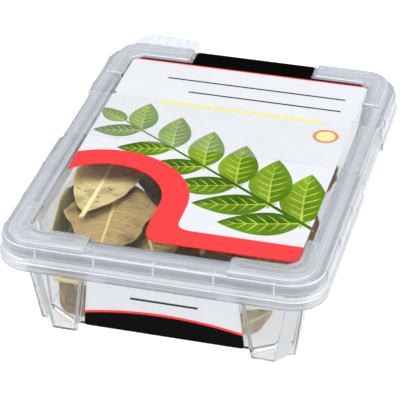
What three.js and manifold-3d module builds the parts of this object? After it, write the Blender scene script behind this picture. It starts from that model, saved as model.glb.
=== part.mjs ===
// Tub of dried bay leaves: a clear snap-lid tray with labels, a clear seal band and loose leaves.
// Millimetres, +Z up. The tub stands on its four corner feet, its short side faces -Y.
import * as THREE from 'three';
import { mergeVertices } from 'three/addons/utils/BufferGeometryUtils.js';
import Module from 'manifold-3d';

const wasm = await Module();
wasm.setup();

// Tray: outline of one corner at the feet (z = 0), and how far each edge moves out per mm of height.
const trayHeight = 37.2;
const wallThickness = 0.8;
const floorHeight = 2;
const floorThickness = 0.9;
const wallHalf = { x: 41.8, y: 58.6 };
const wallDraft = { x: 0.13, y: 0.1 };
const columnRelief = 2.2;
const columnInset = 0.55;
const frontColumn = { inner: 29.8, outer: 38.1, innerDraft: -0.135, outerDraft: 0.163 };
const sideLug = { inner: 50, outer: 55.8, innerDraft: -0.09, outerDraft: 0.163 };
const flangeHalf = { x: 51.9, y: 70.4 };
const flangeRadius = 10.4;
const flangeThickness = 1;
const flangeLip = { drop: 3.6, thickness: 0.9 };

// Lid.
const lidHalf = { x: 55, y: 72.2 };
const lidRadius = 12.2;
const lidTop = 39;
const skirtHeight = 9.8;
const skirtThickness = 0.9;
const rimThickness = 1.2;
const lipProud = 0.5;
const lipHeight = 1.5;
const skirtLean = 0.25;
const edgeRound = 1.4;
const skirtDraft = 0.15;
const panelHalf = { x: 47.9, y: 65 };
const panelRadius = 7;
const panelDepth = 0.5;
const labelBay = { half: 22.9, end: 70.6 };
const waist = { depth: 1, from: -0.5, to: 32.5, slope: 1.5 };
const ridge = {
  height: 1.3,
  innerX: 44.6,
  outerX: 51,
  innerY: 61.8,
  outerY: 70.9,
  endX: 23.5,
  endY: 46,
  innerRadius: 3,
  outerRadius: 9,
};
const skirtRib = { pitch: 19.8, width: 0.8, proud: 0.2, bottom: 31.6, lead: 0.4, reach: 5 };
const liftTab = {
  centreX: -35.6,
  halfWidth: 12.2,
  reach: 9.2,
  top: 38.3,
  thickness: 1.1,
  corner: 7,
  overlap: 1.6,
  ribs: 5,
  ribPitch: 3.9,
  ribWidth: 1,
  ribProud: 0.5,
};

// Labels and band.
const labelGap = 0.3;
const labelThickness = 0.35;
const lidLabel = { half: 44.2, far: 61.4, near: -58.6, corner: 3, notchY: 33, notch: 1.4 };
const labelWindow = { x: -28.5, y: -36, radius: 20.8, arcEnd: -0.12, flare: 8 };
const windowFoot = { inwards: 0.4, rise: 1.75, outwards: 0.1, spread: 0.8 };
const labelCurveSteps = 14;
const bayClear = 0.5;
const frontLabel = { topHalf: 24.8, bottomHalf: 27.4, bottom: 2.6, top: 31, clear: 0.3 };
const band = { from: 1, to: 31, thickness: 0.3, gap: 0.3, tuck: 2.4, shoulder: 1.5 };

// Leaves: drawn from one seeded sequence and let down one after another onto those below.
const leafSeed = 20417;
const leafThickness = 0.6;
const leafCounts = { lower: 22, upper: 30 };
const mostLeaves = 25;
const lowerCeiling = 20;
const leafTries = 110;
const leafGap = 0.35;
const leafStations = 12;
const leafRows = 4;
const cellSize = 1;
const sideClear = 0.55;
const leafSamples = { along: 76, across: 34 };

const materials = {
  plastic: new THREE.MeshStandardMaterial({
    color: 0xdfe3ea, roughness: 0.12, metalness: 0, transparent: true, opacity: 0.35,
  }),
  label: new THREE.MeshStandardMaterial({ color: 0xeef1f4, roughness: 0.35, metalness: 0 }),
  film: new THREE.MeshStandardMaterial({
    color: 0xe9ecef, roughness: 0.08, metalness: 0, transparent: true, opacity: 0.2,
  }),
  leaf: new THREE.MeshStandardMaterial({ color: 0xa89a62, roughness: 0.7, metalness: 0 }),
};

// How far a cutting solid runs past the face that it cuts, and how deep an added one is sunk in.
const overshoot = 1;
const sunk = 0.3;

const solidOf = (geometry) => {
  const bare = geometry.clone();
  bare.deleteAttribute('normal');
  bare.deleteAttribute('uv');
  const merged = mergeVertices(bare, 1e-4);
  return new wasm.Manifold(new wasm.Mesh({
    numProp: 3,
    vertProperties: new Float32Array(merged.attributes.position.array),
    triVerts: new Uint32Array(merged.index.array),
  }));
};

const geometryOf = (solid) => {
  const mesh = solid.getMesh();
  const geometry = new THREE.BufferGeometry();
  geometry.setAttribute('position', new THREE.BufferAttribute(mesh.vertProperties, 3));
  geometry.setIndex(new THREE.BufferAttribute(mesh.triVerts, 1));
  geometry.computeVertexNormals();
  return geometry;
};

// A closed solid through rings of points, lowest first.
// Every ring runs anticlockwise and has the same number of points.
const loft = (rings) => {
  const count = rings[0].length;
  const positions = rings.flat().flatMap((p) => [p.x, p.y, p.z]);
  const index = [];
  for (let level = 0; level + 1 < rings.length; level += 1) {
    for (let i = 0; i < count; i += 1) {
      const a = level * count + i;
      const b = level * count + ((i + 1) % count);
      index.push(a, b, b + count, a, b + count, a + count);
    }
  }
  const flat = rings[0].map((p) => new THREE.Vector2(p.x, p.y));
  const last = (rings.length - 1) * count;
  for (const [a, b, c] of THREE.ShapeUtils.triangulateShape(flat, [])) {
    index.push(c, b, a, last + a, last + b, last + c);
  }
  const geometry = new THREE.BufferGeometry();
  geometry.setAttribute('position', new THREE.Float32BufferAttribute(positions, 3));
  geometry.setIndex(index);
  return solidOf(geometry);
};

const ringAt = (points, z) => points.map(([x, y]) => new THREE.Vector3(x, y, z));

// A rounded rectangle, anticlockwise from its +X +Y corner.
const roundedOutline = (halfX, halfY, radius, steps = 6) => {
  const points = [];
  const centres = [[1, 1], [-1, 1], [-1, -1], [1, -1]];
  centres.forEach(([sx, sy], corner) => {
    for (let i = 0; i <= steps; i += 1) {
      const turn = (corner + i / steps) * Math.PI / 2;
      points.push([
        sx * (halfX - radius) + radius * Math.cos(turn),
        sy * (halfY - radius) + radius * Math.sin(turn),
      ]);
    }
  });
  return points;
};

const prism = (points, bottom, top) => loft([ringAt(points, bottom), ringAt(points, top)]);

const boxSolid = (x, y, z) => {
  const geometry = new THREE.BoxGeometry(x[1] - x[0], y[1] - y[0], z[1] - z[0]);
  geometry.translate((x[0] + x[1]) / 2, (y[0] + y[1]) / 2, (z[0] + z[1]) / 2);
  return solidOf(geometry);
};

const extrudeSolid = (shape, bottom, top, curveSegments = 8) => {
  const depth = top - bottom;
  const geometry = new THREE.ExtrudeGeometry(shape, { depth, bevelEnabled: false, curveSegments });
  geometry.translate(0, 0, bottom);
  return solidOf(geometry);
};

const mirrored = (quarter) => {
  const flipX = quarter.map(([x, y]) => [-x, y]).reverse();
  const half = [...quarter, ...flipX];
  const flipY = half.map(([x, y]) => [x, -y]).reverse();
  return [...half, ...flipY];
};

// Tray outline at a height: recessed walls between columns and lugs, and a leaning flat across each corner.
// inset moves every edge inwards, for the inner face; columnInset is the share that a column's corner moves.
const trayOutline = (z, inset = 0) => {
  const wallX = wallHalf.x + wallDraft.x * z - inset;
  const wallY = wallHalf.y + wallDraft.y * z - inset;
  const columnIn = frontColumn.inner + frontColumn.innerDraft * z + inset;
  const columnOut = frontColumn.outer + frontColumn.outerDraft * z - inset * columnInset;
  const lugIn = sideLug.inner + sideLug.innerDraft * z + inset;
  const lugOut = sideLug.outer + sideLug.outerDraft * z - inset;
  return mirrored([
    [wallX, lugIn],
    [wallX + columnRelief, lugIn],
    [wallX + columnRelief, lugOut],
    [wallX, lugOut],
    [columnOut, wallY + columnRelief],
    [columnIn, wallY + columnRelief],
    [columnIn, wallY],
  ]);
};

// One corner foot, from the column across to the side lug.
const footOutline = (z, inset, sx, sy) => {
  const wallX = wallHalf.x + wallDraft.x * z - inset;
  const wallY = wallHalf.y + wallDraft.y * z - inset;
  const points = [
    [wallX + columnRelief, sideLug.inner + inset],
    [wallX + columnRelief, sideLug.outer + sideLug.outerDraft * z - inset],
    [wallX, sideLug.outer + sideLug.outerDraft * z - inset],
    [frontColumn.outer + frontColumn.outerDraft * z - inset * columnInset, wallY + columnRelief],
    [frontColumn.inner + inset, wallY + columnRelief],
    [frontColumn.inner + inset, wallY - inset * 0.5],
    [wallX - inset * 0.5, sideLug.inner + inset],
  ].map(([x, y]) => [sx * x, sy * y]);
  return sx * sy > 0 ? points : points.reverse();
};

const makeTub = () => {
  let tub = loft([
    ringAt(trayOutline(floorHeight), floorHeight),
    ringAt(trayOutline(trayHeight), trayHeight),
  ]);
  const corners = [[1, 1], [-1, 1], [-1, -1], [1, -1]];
  for (const [sx, sy] of corners) {
    tub = tub.add(loft([
      ringAt(footOutline(0, 0, sx, sy), 0),
      ringAt(footOutline(floorHeight + sunk, 0, sx, sy), floorHeight + sunk),
    ]));
  }
  const flange = prism(
    roundedOutline(flangeHalf.x, flangeHalf.y, flangeRadius),
    trayHeight - flangeThickness - flangeLip.drop,
    trayHeight,
  ).subtract(prism(
    roundedOutline(
      flangeHalf.x - flangeLip.thickness,
      flangeHalf.y - flangeLip.thickness,
      flangeRadius - flangeLip.thickness,
    ),
    trayHeight - flangeThickness - flangeLip.drop - overshoot,
    trayHeight - flangeThickness,
  ));
  tub = tub.add(flange);
  const floorTop = floorHeight + floorThickness;
  tub = tub.subtract(loft([
    ringAt(trayOutline(floorTop, wallThickness), floorTop),
    ringAt(trayOutline(trayHeight + overshoot, wallThickness), trayHeight + overshoot),
  ]));
  for (const [sx, sy] of corners) {
    tub = tub.subtract(loft([
      ringAt(footOutline(floorThickness, wallThickness, sx, sy), floorThickness),
      ringAt(footOutline(floorTop + sunk, wallThickness, sx, sy), floorTop + sunk),
    ]));
  }
  return tub;
};

// Lid outline: long sides pulled in a little under the seal band.
const lidOutline = (inset) => {
  const halfX = lidHalf.x - inset;
  const corner = roundedOutline(halfX, lidHalf.y - inset, lidRadius - inset);
  const quarter = corner.length / 4;
  const pinch = [
    [halfX, waist.from - waist.slope],
    [halfX - waist.depth, waist.from],
    [halfX - waist.depth, waist.to],
    [halfX, waist.to + waist.slope],
  ];
  const left = pinch.map(([x, y]) => [-x, y]).reverse();
  return [
    ...corner.slice(0, 2 * quarter),
    ...left,
    ...corner.slice(2 * quarter),
    ...pinch,
  ];
};

const lidBody = () => {
  const bottom = lidTop - skirtHeight;
  const rings = [
    ringAt(lidOutline(0), bottom),
    ringAt(lidOutline(0), bottom + lipHeight),
    ringAt(lidOutline(lipProud), bottom + lipHeight + lipProud),
    ringAt(lidOutline(lipProud + skirtLean), lidTop - edgeRound),
  ];
  const roundSteps = 3;
  for (let i = 1; i <= roundSteps; i += 1) {
    const turn = (i / roundSteps) * Math.PI / 2;
    const inset = lipProud + skirtLean + edgeRound * (1 - Math.cos(turn));
    rings.push(ringAt(lidOutline(inset), lidTop - edgeRound + edgeRound * Math.sin(turn)));
  }
  const hollow = loft([
    ringAt(lidOutline(lipProud + skirtThickness - skirtDraft), bottom - overshoot),
    ringAt(lidOutline(lipProud + skirtThickness + skirtLean), lidTop - rimThickness),
  ]);
  return loft(rings).subtract(hollow);
};

// One L-shaped stacking ridge in the +X +Y corner, mirrored to the others.
const ridgeSolid = (sx, sy) => {
  const points = [
    [ridge.endX, ridge.outerY],
    [ridge.endX, ridge.innerY],
    [ridge.innerX - ridge.innerRadius, ridge.innerY],
    [ridge.innerX - ridge.innerRadius * 0.3, ridge.innerY - ridge.innerRadius * 0.3],
    [ridge.innerX, ridge.innerY - ridge.innerRadius],
    [ridge.innerX, ridge.endY],
    [ridge.outerX, ridge.endY],
  ];
  const steps = 5;
  for (let i = 0; i <= steps; i += 1) {
    const turn = (i / steps) * Math.PI / 2;
    points.push([
      ridge.outerX - ridge.outerRadius * (1 - Math.cos(turn)),
      ridge.outerY - ridge.outerRadius * (1 - Math.sin(turn)),
    ]);
  }
  const placed = points.map(([x, y]) => [sx * x, sy * y]);
  const turned = sx * sy > 0 ? placed : placed.reverse();
  return prism(turned, lidTop - panelDepth - sunk, lidTop + ridge.height);
};

// A fine rib that runs up the skirt, over its round edge and a little way in over the rim.
// The profile's x is the distance in from the lid's outer edge.
const ribProfile = () => {
  const { proud, bottom, lead, reach } = skirtRib;
  const face = lipProud + skirtLean;
  const round = edgeRound + proud;
  const shape = new THREE.Shape();
  shape.moveTo(face + skirtThickness / 2, bottom);
  shape.lineTo(face - proud, bottom + lead);
  shape.lineTo(face - proud, lidTop - edgeRound);
  shape.absarc(face + edgeRound, lidTop - edgeRound, round, Math.PI, Math.PI / 2, true);
  shape.lineTo(reach, lidTop + proud);
  shape.lineTo(reach + lead, lidTop - rimThickness / 2);
  shape.lineTo(face + edgeRound, lidTop - rimThickness / 2);
  shape.lineTo(face + skirtThickness / 2, lidTop - edgeRound);
  return shape;
};

// Outward direction of a side and the distance of the lid's edge from the middle.
const ribAt = (turn, edge, along) => {
  const geometry = new THREE.ExtrudeGeometry(ribProfile(), {
    depth: skirtRib.width, bevelEnabled: false, curveSegments: 3,
  });
  geometry.rotateX(Math.PI / 2);
  geometry.translate(-edge, along + skirtRib.width / 2, 0);
  geometry.rotateZ(turn);
  return solidOf(geometry);
};

const skirtRibs = () => {
  const ribs = [];
  const ribsNear = [-2, -1, 0, 1, 2];
  const ribsFar = [-2, 2];
  const ribsAlong = [-3, -2, -1, 2, 3];
  for (const step of ribsNear) ribs.push(ribAt(Math.PI / 2, lidHalf.y, step * skirtRib.pitch));
  for (const step of ribsFar) ribs.push(ribAt(-Math.PI / 2, lidHalf.y, step * skirtRib.pitch));
  for (const step of ribsAlong) {
    ribs.push(ribAt(0, lidHalf.x, step * skirtRib.pitch));
    ribs.push(ribAt(Math.PI, lidHalf.x, -step * skirtRib.pitch));
  }
  return ribs;
};

const tabShape = () => {
  const { centreX, halfWidth, reach, corner, overlap } = liftTab;
  const shape = new THREE.Shape();
  const root = lidHalf.y - overlap;
  const tip = lidHalf.y + reach;
  const side = tip - corner * 0.75;
  shape.moveTo(centreX + halfWidth, root);
  shape.lineTo(centreX + halfWidth, side);
  shape.quadraticCurveTo(centreX + halfWidth - 1, tip, centreX + halfWidth - corner, tip);
  shape.lineTo(centreX - halfWidth + corner, tip);
  shape.quadraticCurveTo(centreX - halfWidth + 1, tip, centreX - halfWidth, side);
  shape.lineTo(centreX - halfWidth, root);
  return shape;
};

const makeLid = () => {
  let lid = lidBody();
  lid = lid.subtract(prism(
    roundedOutline(panelHalf.x, panelHalf.y, panelRadius),
    lidTop - panelDepth,
    lidTop + overshoot,
  ));
  lid = lid.subtract(boxSolid(
    [-labelBay.half, labelBay.half],
    [panelHalf.y - overshoot, labelBay.end],
    [lidTop - panelDepth, lidTop + overshoot],
  ));
  for (const [sx, sy] of [[1, 1], [-1, 1], [-1, -1], [1, -1]]) lid = lid.add(ridgeSolid(sx, sy));
  for (const rib of skirtRibs()) lid = lid.add(rib);
  const { top, thickness, ribs, ribPitch, ribWidth, ribProud, reach, overlap, centreX } = liftTab;
  lid = lid.add(extrudeSolid(tabShape(), top - thickness, top));
  for (let i = 0; i < ribs; i += 1) {
    const x = centreX + (i - (ribs - 1) / 2) * ribPitch;
    lid = lid.add(boxSolid(
      [x - ribWidth / 2, x + ribWidth / 2],
      [lidHalf.y - overlap, lidHalf.y + reach - overlap],
      [top - sunk, top + ribProud],
    ));
  }
  return lid;
};

const lidLabelShape = () => {
  const { half, far, near, corner, notchY, notch } = lidLabel;
  const { x, y, radius, flare } = labelWindow;
  const shape = new THREE.Shape();
  const start = Math.acos((half + x) / radius);
  shape.moveTo(half - corner, near);
  shape.quadraticCurveTo(half, near, half, near + corner);
  shape.lineTo(half, notchY - notch);
  shape.lineTo(half - notch, notchY);
  shape.lineTo(half, notchY + notch);
  shape.lineTo(half, far - corner);
  shape.lineTo(half - corner, far);
  shape.lineTo(labelBay.half - bayClear, far);
  shape.lineTo(labelBay.half - bayClear, labelBay.end - bayClear);
  shape.lineTo(-labelBay.half + bayClear, labelBay.end - bayClear);
  shape.lineTo(-labelBay.half + bayClear, far);
  shape.lineTo(-half + corner, far);
  shape.lineTo(-half, far - corner);
  shape.lineTo(-half, notchY + notch);
  shape.lineTo(-half + notch, notchY);
  shape.lineTo(-half, notchY - notch);
  shape.lineTo(-half, y + radius * Math.sin(start));
  shape.absarc(x, y, radius, Math.PI - start, labelWindow.arcEnd, true);
  const edge = x + radius;
  const { inwards, rise, outwards, spread } = windowFoot;
  shape.quadraticCurveTo(edge - inwards, near + flare * rise, edge, near + flare);
  shape.quadraticCurveTo(edge + outwards, near, edge + flare * spread, near);
  return shape;
};

const makeLidLabel = () => {
  const bottom = lidTop - panelDepth + labelGap;
  return extrudeSolid(lidLabelShape(), bottom, bottom + labelThickness, labelCurveSteps);
};

// A plate on the leaning front wall, kept a gap off it.
const makeFrontLabel = () => {
  const { topHalf, bottomHalf, bottom, top, clear } = frontLabel;
  const face = (z) => -(wallHalf.y + wallDraft.y * z) - clear;
  const corner = (x, z, out) => new THREE.Vector3(x, face(z) - out, z);
  const ring = (half, z) => [
    corner(-half, z, labelThickness),
    corner(half, z, labelThickness),
    corner(half, z, 0),
    corner(-half, z, 0),
  ];
  return loft([ring(bottomHalf, bottom), ring(topHalf, top)]);
};

// Clear band: over the lid, down both long skirts and tucked under the lip.
const makeSealBand = () => {
  const side = lidHalf.x - waist.depth + band.gap;
  const over = lidTop + band.gap;
  const under = lidTop - skirtHeight - band.gap;
  const shoulderTop = lidTop - edgeRound * 0.55;
  const t = band.thickness;
  const right = [
    [side - band.tuck, under - t],
    [side + t, under - t],
    [side + t, shoulderTop + band.gap],
    [side + t - band.shoulder * 0.4, over - band.gap * 0.7 + t],
    [side + t - band.shoulder, over + t],
  ];
  const inside = [
    [side - band.shoulder, over],
    [side - band.shoulder / 2, over - band.gap],
    [side, shoulderTop],
    [side, under],
    [side - band.tuck, under],
  ];
  const mirror = (points) => points.map(([x, z]) => [-x, z]).reverse();
  const outline = [...right, ...mirror(right), ...mirror(inside), ...inside];
  const shape = new THREE.Shape(outline.map(([x, z]) => new THREE.Vector2(x, z)));
  const geometry = new THREE.ExtrudeGeometry(shape, { depth: band.to - band.from, bevelEnabled: false });
  geometry.rotateX(Math.PI / 2);
  geometry.translate(0, band.to, 0);
  return solidOf(geometry);
};

// Repeatable random numbers.
const randomFrom = (seed) => {
  let state = seed;
  return () => {
    state = (state + 0x6d2b79f5) | 0;
    let t = Math.imul(state ^ (state >>> 15), 1 | state);
    t = (t + Math.imul(t ^ (t >>> 7), 61 | t)) ^ t;
    return ((t ^ (t >>> 14)) >>> 0) / 4294967296;
  };
};

// Half width of a leaf along its length: a stalk, a blade widest near the middle, a drawn-out tip.
// A low early gives a blunt base, lopsided makes one half wider, ragged notches the edges.
const stalk = { half: 0.75, tipHalf: 0.25 };
const fullness = 0.82;
const notches = 19;
const notchPhase = 3;
const farHalf = { notch: 2, wave: 1.3 };
const leafHalfWidth = (leaf, u, v) => {
  const s = (u - leaf.stalk) / (1 - leaf.stalk);
  if (s <= 0) return stalk.half;
  const swell = Math.max(0, Math.sin(Math.PI * s ** leaf.early)) ** fullness;
  const side = v > 0 ? 1 + leaf.lopsided : 1 - leaf.lopsided;
  const ripple = 1 + Math.sin(notches * u + notchPhase * leaf.phase + (v > 0 ? farHalf.notch : 0));
  const least = stalk.half * (1 - s) + stalk.tipHalf;
  return Math.max(least, (leaf.width / 2) * swell * side * (1 - (leaf.ragged * ripple) / 2));
};

// Middle surface of a leaf: u runs from stalk to tip, v from edge to edge.
// bend curls it along its length, fold and curl lift its two halves, wave ripples its edges.
const leafPoint = (leaf, u, v) => {
  const half = leafHalfWidth(leaf, u, v);
  const turn = leaf.bend * (u - 0.5);
  const radius = leaf.length / leaf.bend;
  const across = v * half;
  const lift = leaf.fold * Math.abs(across)
    + (leaf.curl * across * across) / leaf.width
    + leaf.wave * v * v * Math.sin(2 * Math.PI * leaf.waves * u + leaf.phase + (v > 0 ? farHalf.wave : 0));
  const along = radius * Math.sin(turn) - lift * Math.sin(turn);
  const height = radius * (1 - Math.cos(turn)) + lift * Math.cos(turn);
  const sway = leaf.sway * Math.sin(Math.PI * u);
  const point = new THREE.Vector3(along, across + sway, height);
  return point.applyEuler(new THREE.Euler(leaf.roll, leaf.pitch, leaf.yaw, 'ZYX'));
};

const drawLeaf = (random) => {
  const between = (low, high) => low + (high - low) * random();
  const length = between(62, 84);
  return {
    length,
    width: length * between(0.34, 0.43),
    bend: between(0.08, 0.4) * (random() < 0.5 ? -1 : 1),
    fold: between(-0.05, 0.1),
    curl: between(-0.1, 0.14),
    wave: between(0.2, 0.7),
    waves: between(1.6, 3),
    phase: between(0, 6.28),
    sway: between(-3, 3),
    early: between(0.7, 0.98),
    lopsided: between(-0.08, 0.08),
    ragged: between(0.02, 0.1),
    stalk: between(0.05, 0.1),
  };
};

const drawSpot = (random) => {
  const between = (low, high) => low + (high - low) * random();
  return {
    x: between(-33, 33),
    y: between(-48, 48),
    yaw: between(0, 2 * Math.PI),
    roll: between(-0.35, 0.35),
    pitch: between(-0.2, 0.2),
  };
};

// Highest surface so far over a grid of small cells, at the start the floor.
const fieldReach = 66;
const heightField = () => {
  const reach = fieldReach;
  const side = Math.ceil((2 * reach) / cellSize);
  const heights = new Float64Array(side * side).fill(floorHeight + floorThickness);
  const cellOf = (x, y) => Math.floor((x + reach) / cellSize) * side + Math.floor((y + reach) / cellSize);
  return { heights, cellOf };
};

// Room for a leaf inside the tray's walls and leaning corner flats at the height of each point.
const wallClear = 0.5;
const cornerDraft = 0.12;
const fitsInside = (x, y, z) => {
  const ax = Math.abs(x);
  const ay = Math.abs(y);
  const inset = wallThickness + wallClear;
  if (ax > wallHalf.x + wallDraft.x * z - inset) return false;
  if (ay > wallHalf.y + wallDraft.y * z - inset) return false;
  const dx = wallHalf.x - frontColumn.outer;
  const dy = wallHalf.y + columnRelief - sideLug.outer;
  const norm = Math.hypot(dx, dy);
  const flat = (dy * frontColumn.outer + dx * (wallHalf.y + columnRelief)) / norm;
  return (dy * ax + dx * ay) / norm < flat + cornerDraft * z - inset;
};

const sampleLeaf = (leaf) => {
  const samples = [];
  for (let i = 0; i <= leafSamples.along; i += 1) {
    for (let j = 0; j <= leafSamples.across; j += 1) {
      const u = i / leafSamples.along;
      samples.push(leafPoint(leaf, u, (2 * j) / leafSamples.across - 1));
    }
  }
  return samples;
};

// Lowest height at which a leaf at x, y clears everything below it.
const restingHeight = (field, samples, x, y) => {
  let rest = -Infinity;
  for (const p of samples) {
    const top = field.heights[field.cellOf(p.x + x, p.y + y)];
    rest = Math.max(rest, top - p.z);
  }
  return rest + leafThickness / 2 + leafGap;
};

const settle = (field, samples, x, y, z) => {
  for (const p of samples) {
    for (const [dx, dy] of [[-1, -1], [1, -1], [-1, 1], [1, 1]]) {
      const cell = field.cellOf(p.x + x + dx * sideClear, p.y + y + dy * sideClear);
      field.heights[cell] = Math.max(field.heights[cell], p.z + z + leafThickness / 2);
    }
  }
};

const placeLeaf = (field, leaf, spots, ceiling) => {
  let best = null;
  for (const spot of spots) {
    const turned = { ...leaf, yaw: spot.yaw, roll: spot.roll, pitch: spot.pitch };
    const samples = sampleLeaf(turned);
    const z = restingHeight(field, samples, spot.x, spot.y);
    const top = Math.max(...samples.map((p) => p.z)) + z;
    if (top > ceiling) continue;
    if (!samples.every((p) => fitsInside(p.x + spot.x, p.y + spot.y, p.z + z))) continue;
    if (!best || top < best.top) best = { leaf: turned, samples, x: spot.x, y: spot.y, z, top };
  }
  if (best) settle(field, best.samples, best.x, best.y, best.z);
  return best;
};

// Leaves that stand against the walls: behind the near left column and along the left wall.
const wallLeaves = [
  {
    x: -9, y: -52.2, yaw: 0, length: 61, width: 23.5, stalk: 0.03, early: 0.32,
    bend: 0.1, fold: 0.02, curl: 0.04, roll: 1.3, pitch: 0.02, ragged: 0.1,
  },
  {
    x: -42.3, y: -20, yaw: 1.571, length: 68, width: 29.5, stalk: 0.06, early: 0.72,
    bend: 0.02, fold: 0, curl: 0.01, wave: 0.2, roll: 1.44, pitch: 0, ragged: 0.14,
  },
];

// Leaves that cover the floor under the window, before the pile is laid.
const cornerLeaves = [
  {
    x: -16, y: -13, yaw: 1.5, length: 62, width: 25, stalk: 0.08, early: 0.8,
    bend: 0.15, fold: 0.04, curl: 0.05, roll: 0.04, pitch: 0,
  },
  {
    x: -4, y: -31, yaw: 2.85, length: 58, width: 23, stalk: 0.07, early: 0.75,
    bend: -0.2, fold: 0.05, curl: 0.05, roll: 0.1, pitch: 0.05,
  },
];

// A broken piece behind the near right column, then the leaves that lie on top under the window,
// each at its own place and turn, lowest first.
const windowLeaves = [
  {
    x: 28.5, y: -48.6, yaw: 0.6, length: 13, width: 8.5, stalk: 0, early: 0.6,
    bend: 0.2, fold: 0.04, curl: 0.08, roll: 0.9, pitch: -0.3,
  },
  {
    x: 2, y: -12, yaw: -0.1, length: 66, width: 27, stalk: 0.06, early: 0.7,
    bend: 0.12, fold: 0.03, curl: 0.04, roll: 0, pitch: 0,
  },
  {
    x: -16.8, y: -24, yaw: -1.12, length: 58, width: 26, stalk: 0.08, early: 0.95,
    bend: 0.1, fold: 0.04, curl: 0.06, roll: 0, pitch: 0,
  },
  {
    x: -26, y: -33.2, yaw: -1.46, length: 50, width: 32.4, stalk: 0.07, early: 0.68,
    bend: 0.12, fold: 0.02, curl: 0.03, roll: 0, pitch: 0.02, ragged: 0.12, lopsided: -0.02,
  },
  {
    x: -33.8, y: -7, yaw: 1.58, length: 69, width: 23.6, stalk: 0.06, early: 0.86,
    bend: 0.2, fold: 0.05, curl: 0.08, roll: 0, pitch: 0, ragged: 0.03, lopsided: -0.07,
  },
];

// Cells under the window are raised to the lid, so that no later leaf hides the chosen ones.
const windowView = { x: [-45, -6], y: [-61, -8] };
const keepWindowClear = (field) => {
  for (let x = windowView.x[0]; x < windowView.x[1]; x += cellSize) {
    for (let y = windowView.y[0]; y < windowView.y[1]; y += cellSize) {
      field.heights[field.cellOf(x, y)] = lidTop;
    }
  }
};

// Lower pile first, then the chosen leaves under the window, then whatever still fits under the lid.
const pileLeaves = () => {
  const random = randomFrom(leafSeed);
  const field = heightField();
  const lidUnderside = lidTop - rimThickness - leafGap - leafThickness / 2;
  const placed = [];
  const add = (leaf, spots, ceiling) => {
    const found = placeLeaf(field, leaf, spots, ceiling);
    if (found) placed.push(found);
  };
  const addChosen = ({ x, y, yaw, roll, pitch, ...shape }) => {
    const plain = { wave: 0.5, waves: 2, phase: 0.6, sway: 0, lopsided: 0, ragged: 0.05 };
    add({ ...plain, ...shape }, [{ x, y, yaw, roll, pitch }], lidUnderside);
  };
  const addDrawn = (count, ceiling) => {
    for (let i = 0; i < count && placed.length < mostLeaves; i += 1) {
      const leaf = drawLeaf(random);
      add(leaf, Array.from({ length: leafTries }, () => drawSpot(random)), ceiling);
    }
  };
  wallLeaves.forEach(addChosen);
  cornerLeaves.forEach(addChosen);
  addDrawn(leafCounts.lower, lowerCeiling);
  windowLeaves.forEach(addChosen);
  keepWindowClear(field);
  addDrawn(leafCounts.upper, lidUnderside);
  return placed;
};

// A closed blade of even thickness about the middle surface.
const leafGeometry = ({ leaf, x, y, z }) => {
  const top = [];
  const bottom = [];
  const step = 1e-3;
  const acrossStep = 0.1;
  for (let i = 0; i <= leafStations; i += 1) {
    for (let j = 0; j <= leafRows; j += 1) {
      const u = i / leafStations;
      const v = (2 * j) / leafRows - 1;
      const p = leafPoint(leaf, u, v);
      const pu = leafPoint(leaf, u + step, v).sub(leafPoint(leaf, u - step, v));
      const pv = leafPoint(leaf, u, v + acrossStep).sub(leafPoint(leaf, u, v - acrossStep));
      const normal = pu.cross(pv).normalize().multiplyScalar(leafThickness / 2);
      top.push(p.clone().add(normal));
      bottom.push(p.clone().sub(normal));
    }
  }
  const positions = [...top, ...bottom].flatMap((p) => [p.x + x, p.y + y, p.z + z]);
  const columns = leafRows + 1;
  const under = top.length;
  const at = (i, j) => i * columns + j;
  const index = [];
  for (let i = 0; i < leafStations; i += 1) {
    for (let j = 0; j < leafRows; j += 1) {
      const [a, b, c, d] = [at(i, j), at(i + 1, j), at(i + 1, j + 1), at(i, j + 1)];
      index.push(a, b, c, a, c, d);
      index.push(under + a, under + c, under + b, under + a, under + d, under + c);
    }
  }
  const rim = [];
  for (let i = 0; i < leafStations; i += 1) rim.push(at(i, 0));
  for (let j = 0; j < leafRows; j += 1) rim.push(at(leafStations, j));
  for (let i = leafStations; i > 0; i -= 1) rim.push(at(i, leafRows));
  for (let j = leafRows; j > 0; j -= 1) rim.push(at(0, j));
  rim.forEach((a, k) => {
    const b = rim[(k + 1) % rim.length];
    index.push(a, under + a, under + b, a, under + b, b);
  });
  const geometry = new THREE.BufferGeometry();
  geometry.setAttribute('position', new THREE.Float32BufferAttribute(positions, 3));
  geometry.setIndex(index);
  geometry.computeVertexNormals();
  return geometry;
};

// The group's origin is under the middle of the whole outline, the tab at the back counted in.
const model = new THREE.Group();
model.position.y = -liftTab.reach / 2;

const addMesh = (name, geometry, material) => {
  const mesh = new THREE.Mesh(geometry, material.clone());
  mesh.name = name;
  model.add(mesh);
};

addMesh('tub', geometryOf(makeTub()), materials.plastic);
addMesh('lid', geometryOf(makeLid()), materials.plastic);
addMesh('lid_label', geometryOf(makeLidLabel()), materials.label);
addMesh('front_label', geometryOf(makeFrontLabel()), materials.label);
addMesh('seal_band', geometryOf(makeSealBand()), materials.film);
pileLeaves().forEach((placed, i) => {
  addMesh(`leaf_${String(i + 1).padStart(2, '0')}`, leafGeometry(placed), materials.leaf);
});

const part = new THREE.Group();
part.add(model);
export default part;
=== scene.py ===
from functools import partial
import math

import bmesh
import bpy
import numpy as np
from mathutils import Matrix, Vector
from mathutils.geometry import delaunay_2d_cdt


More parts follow.
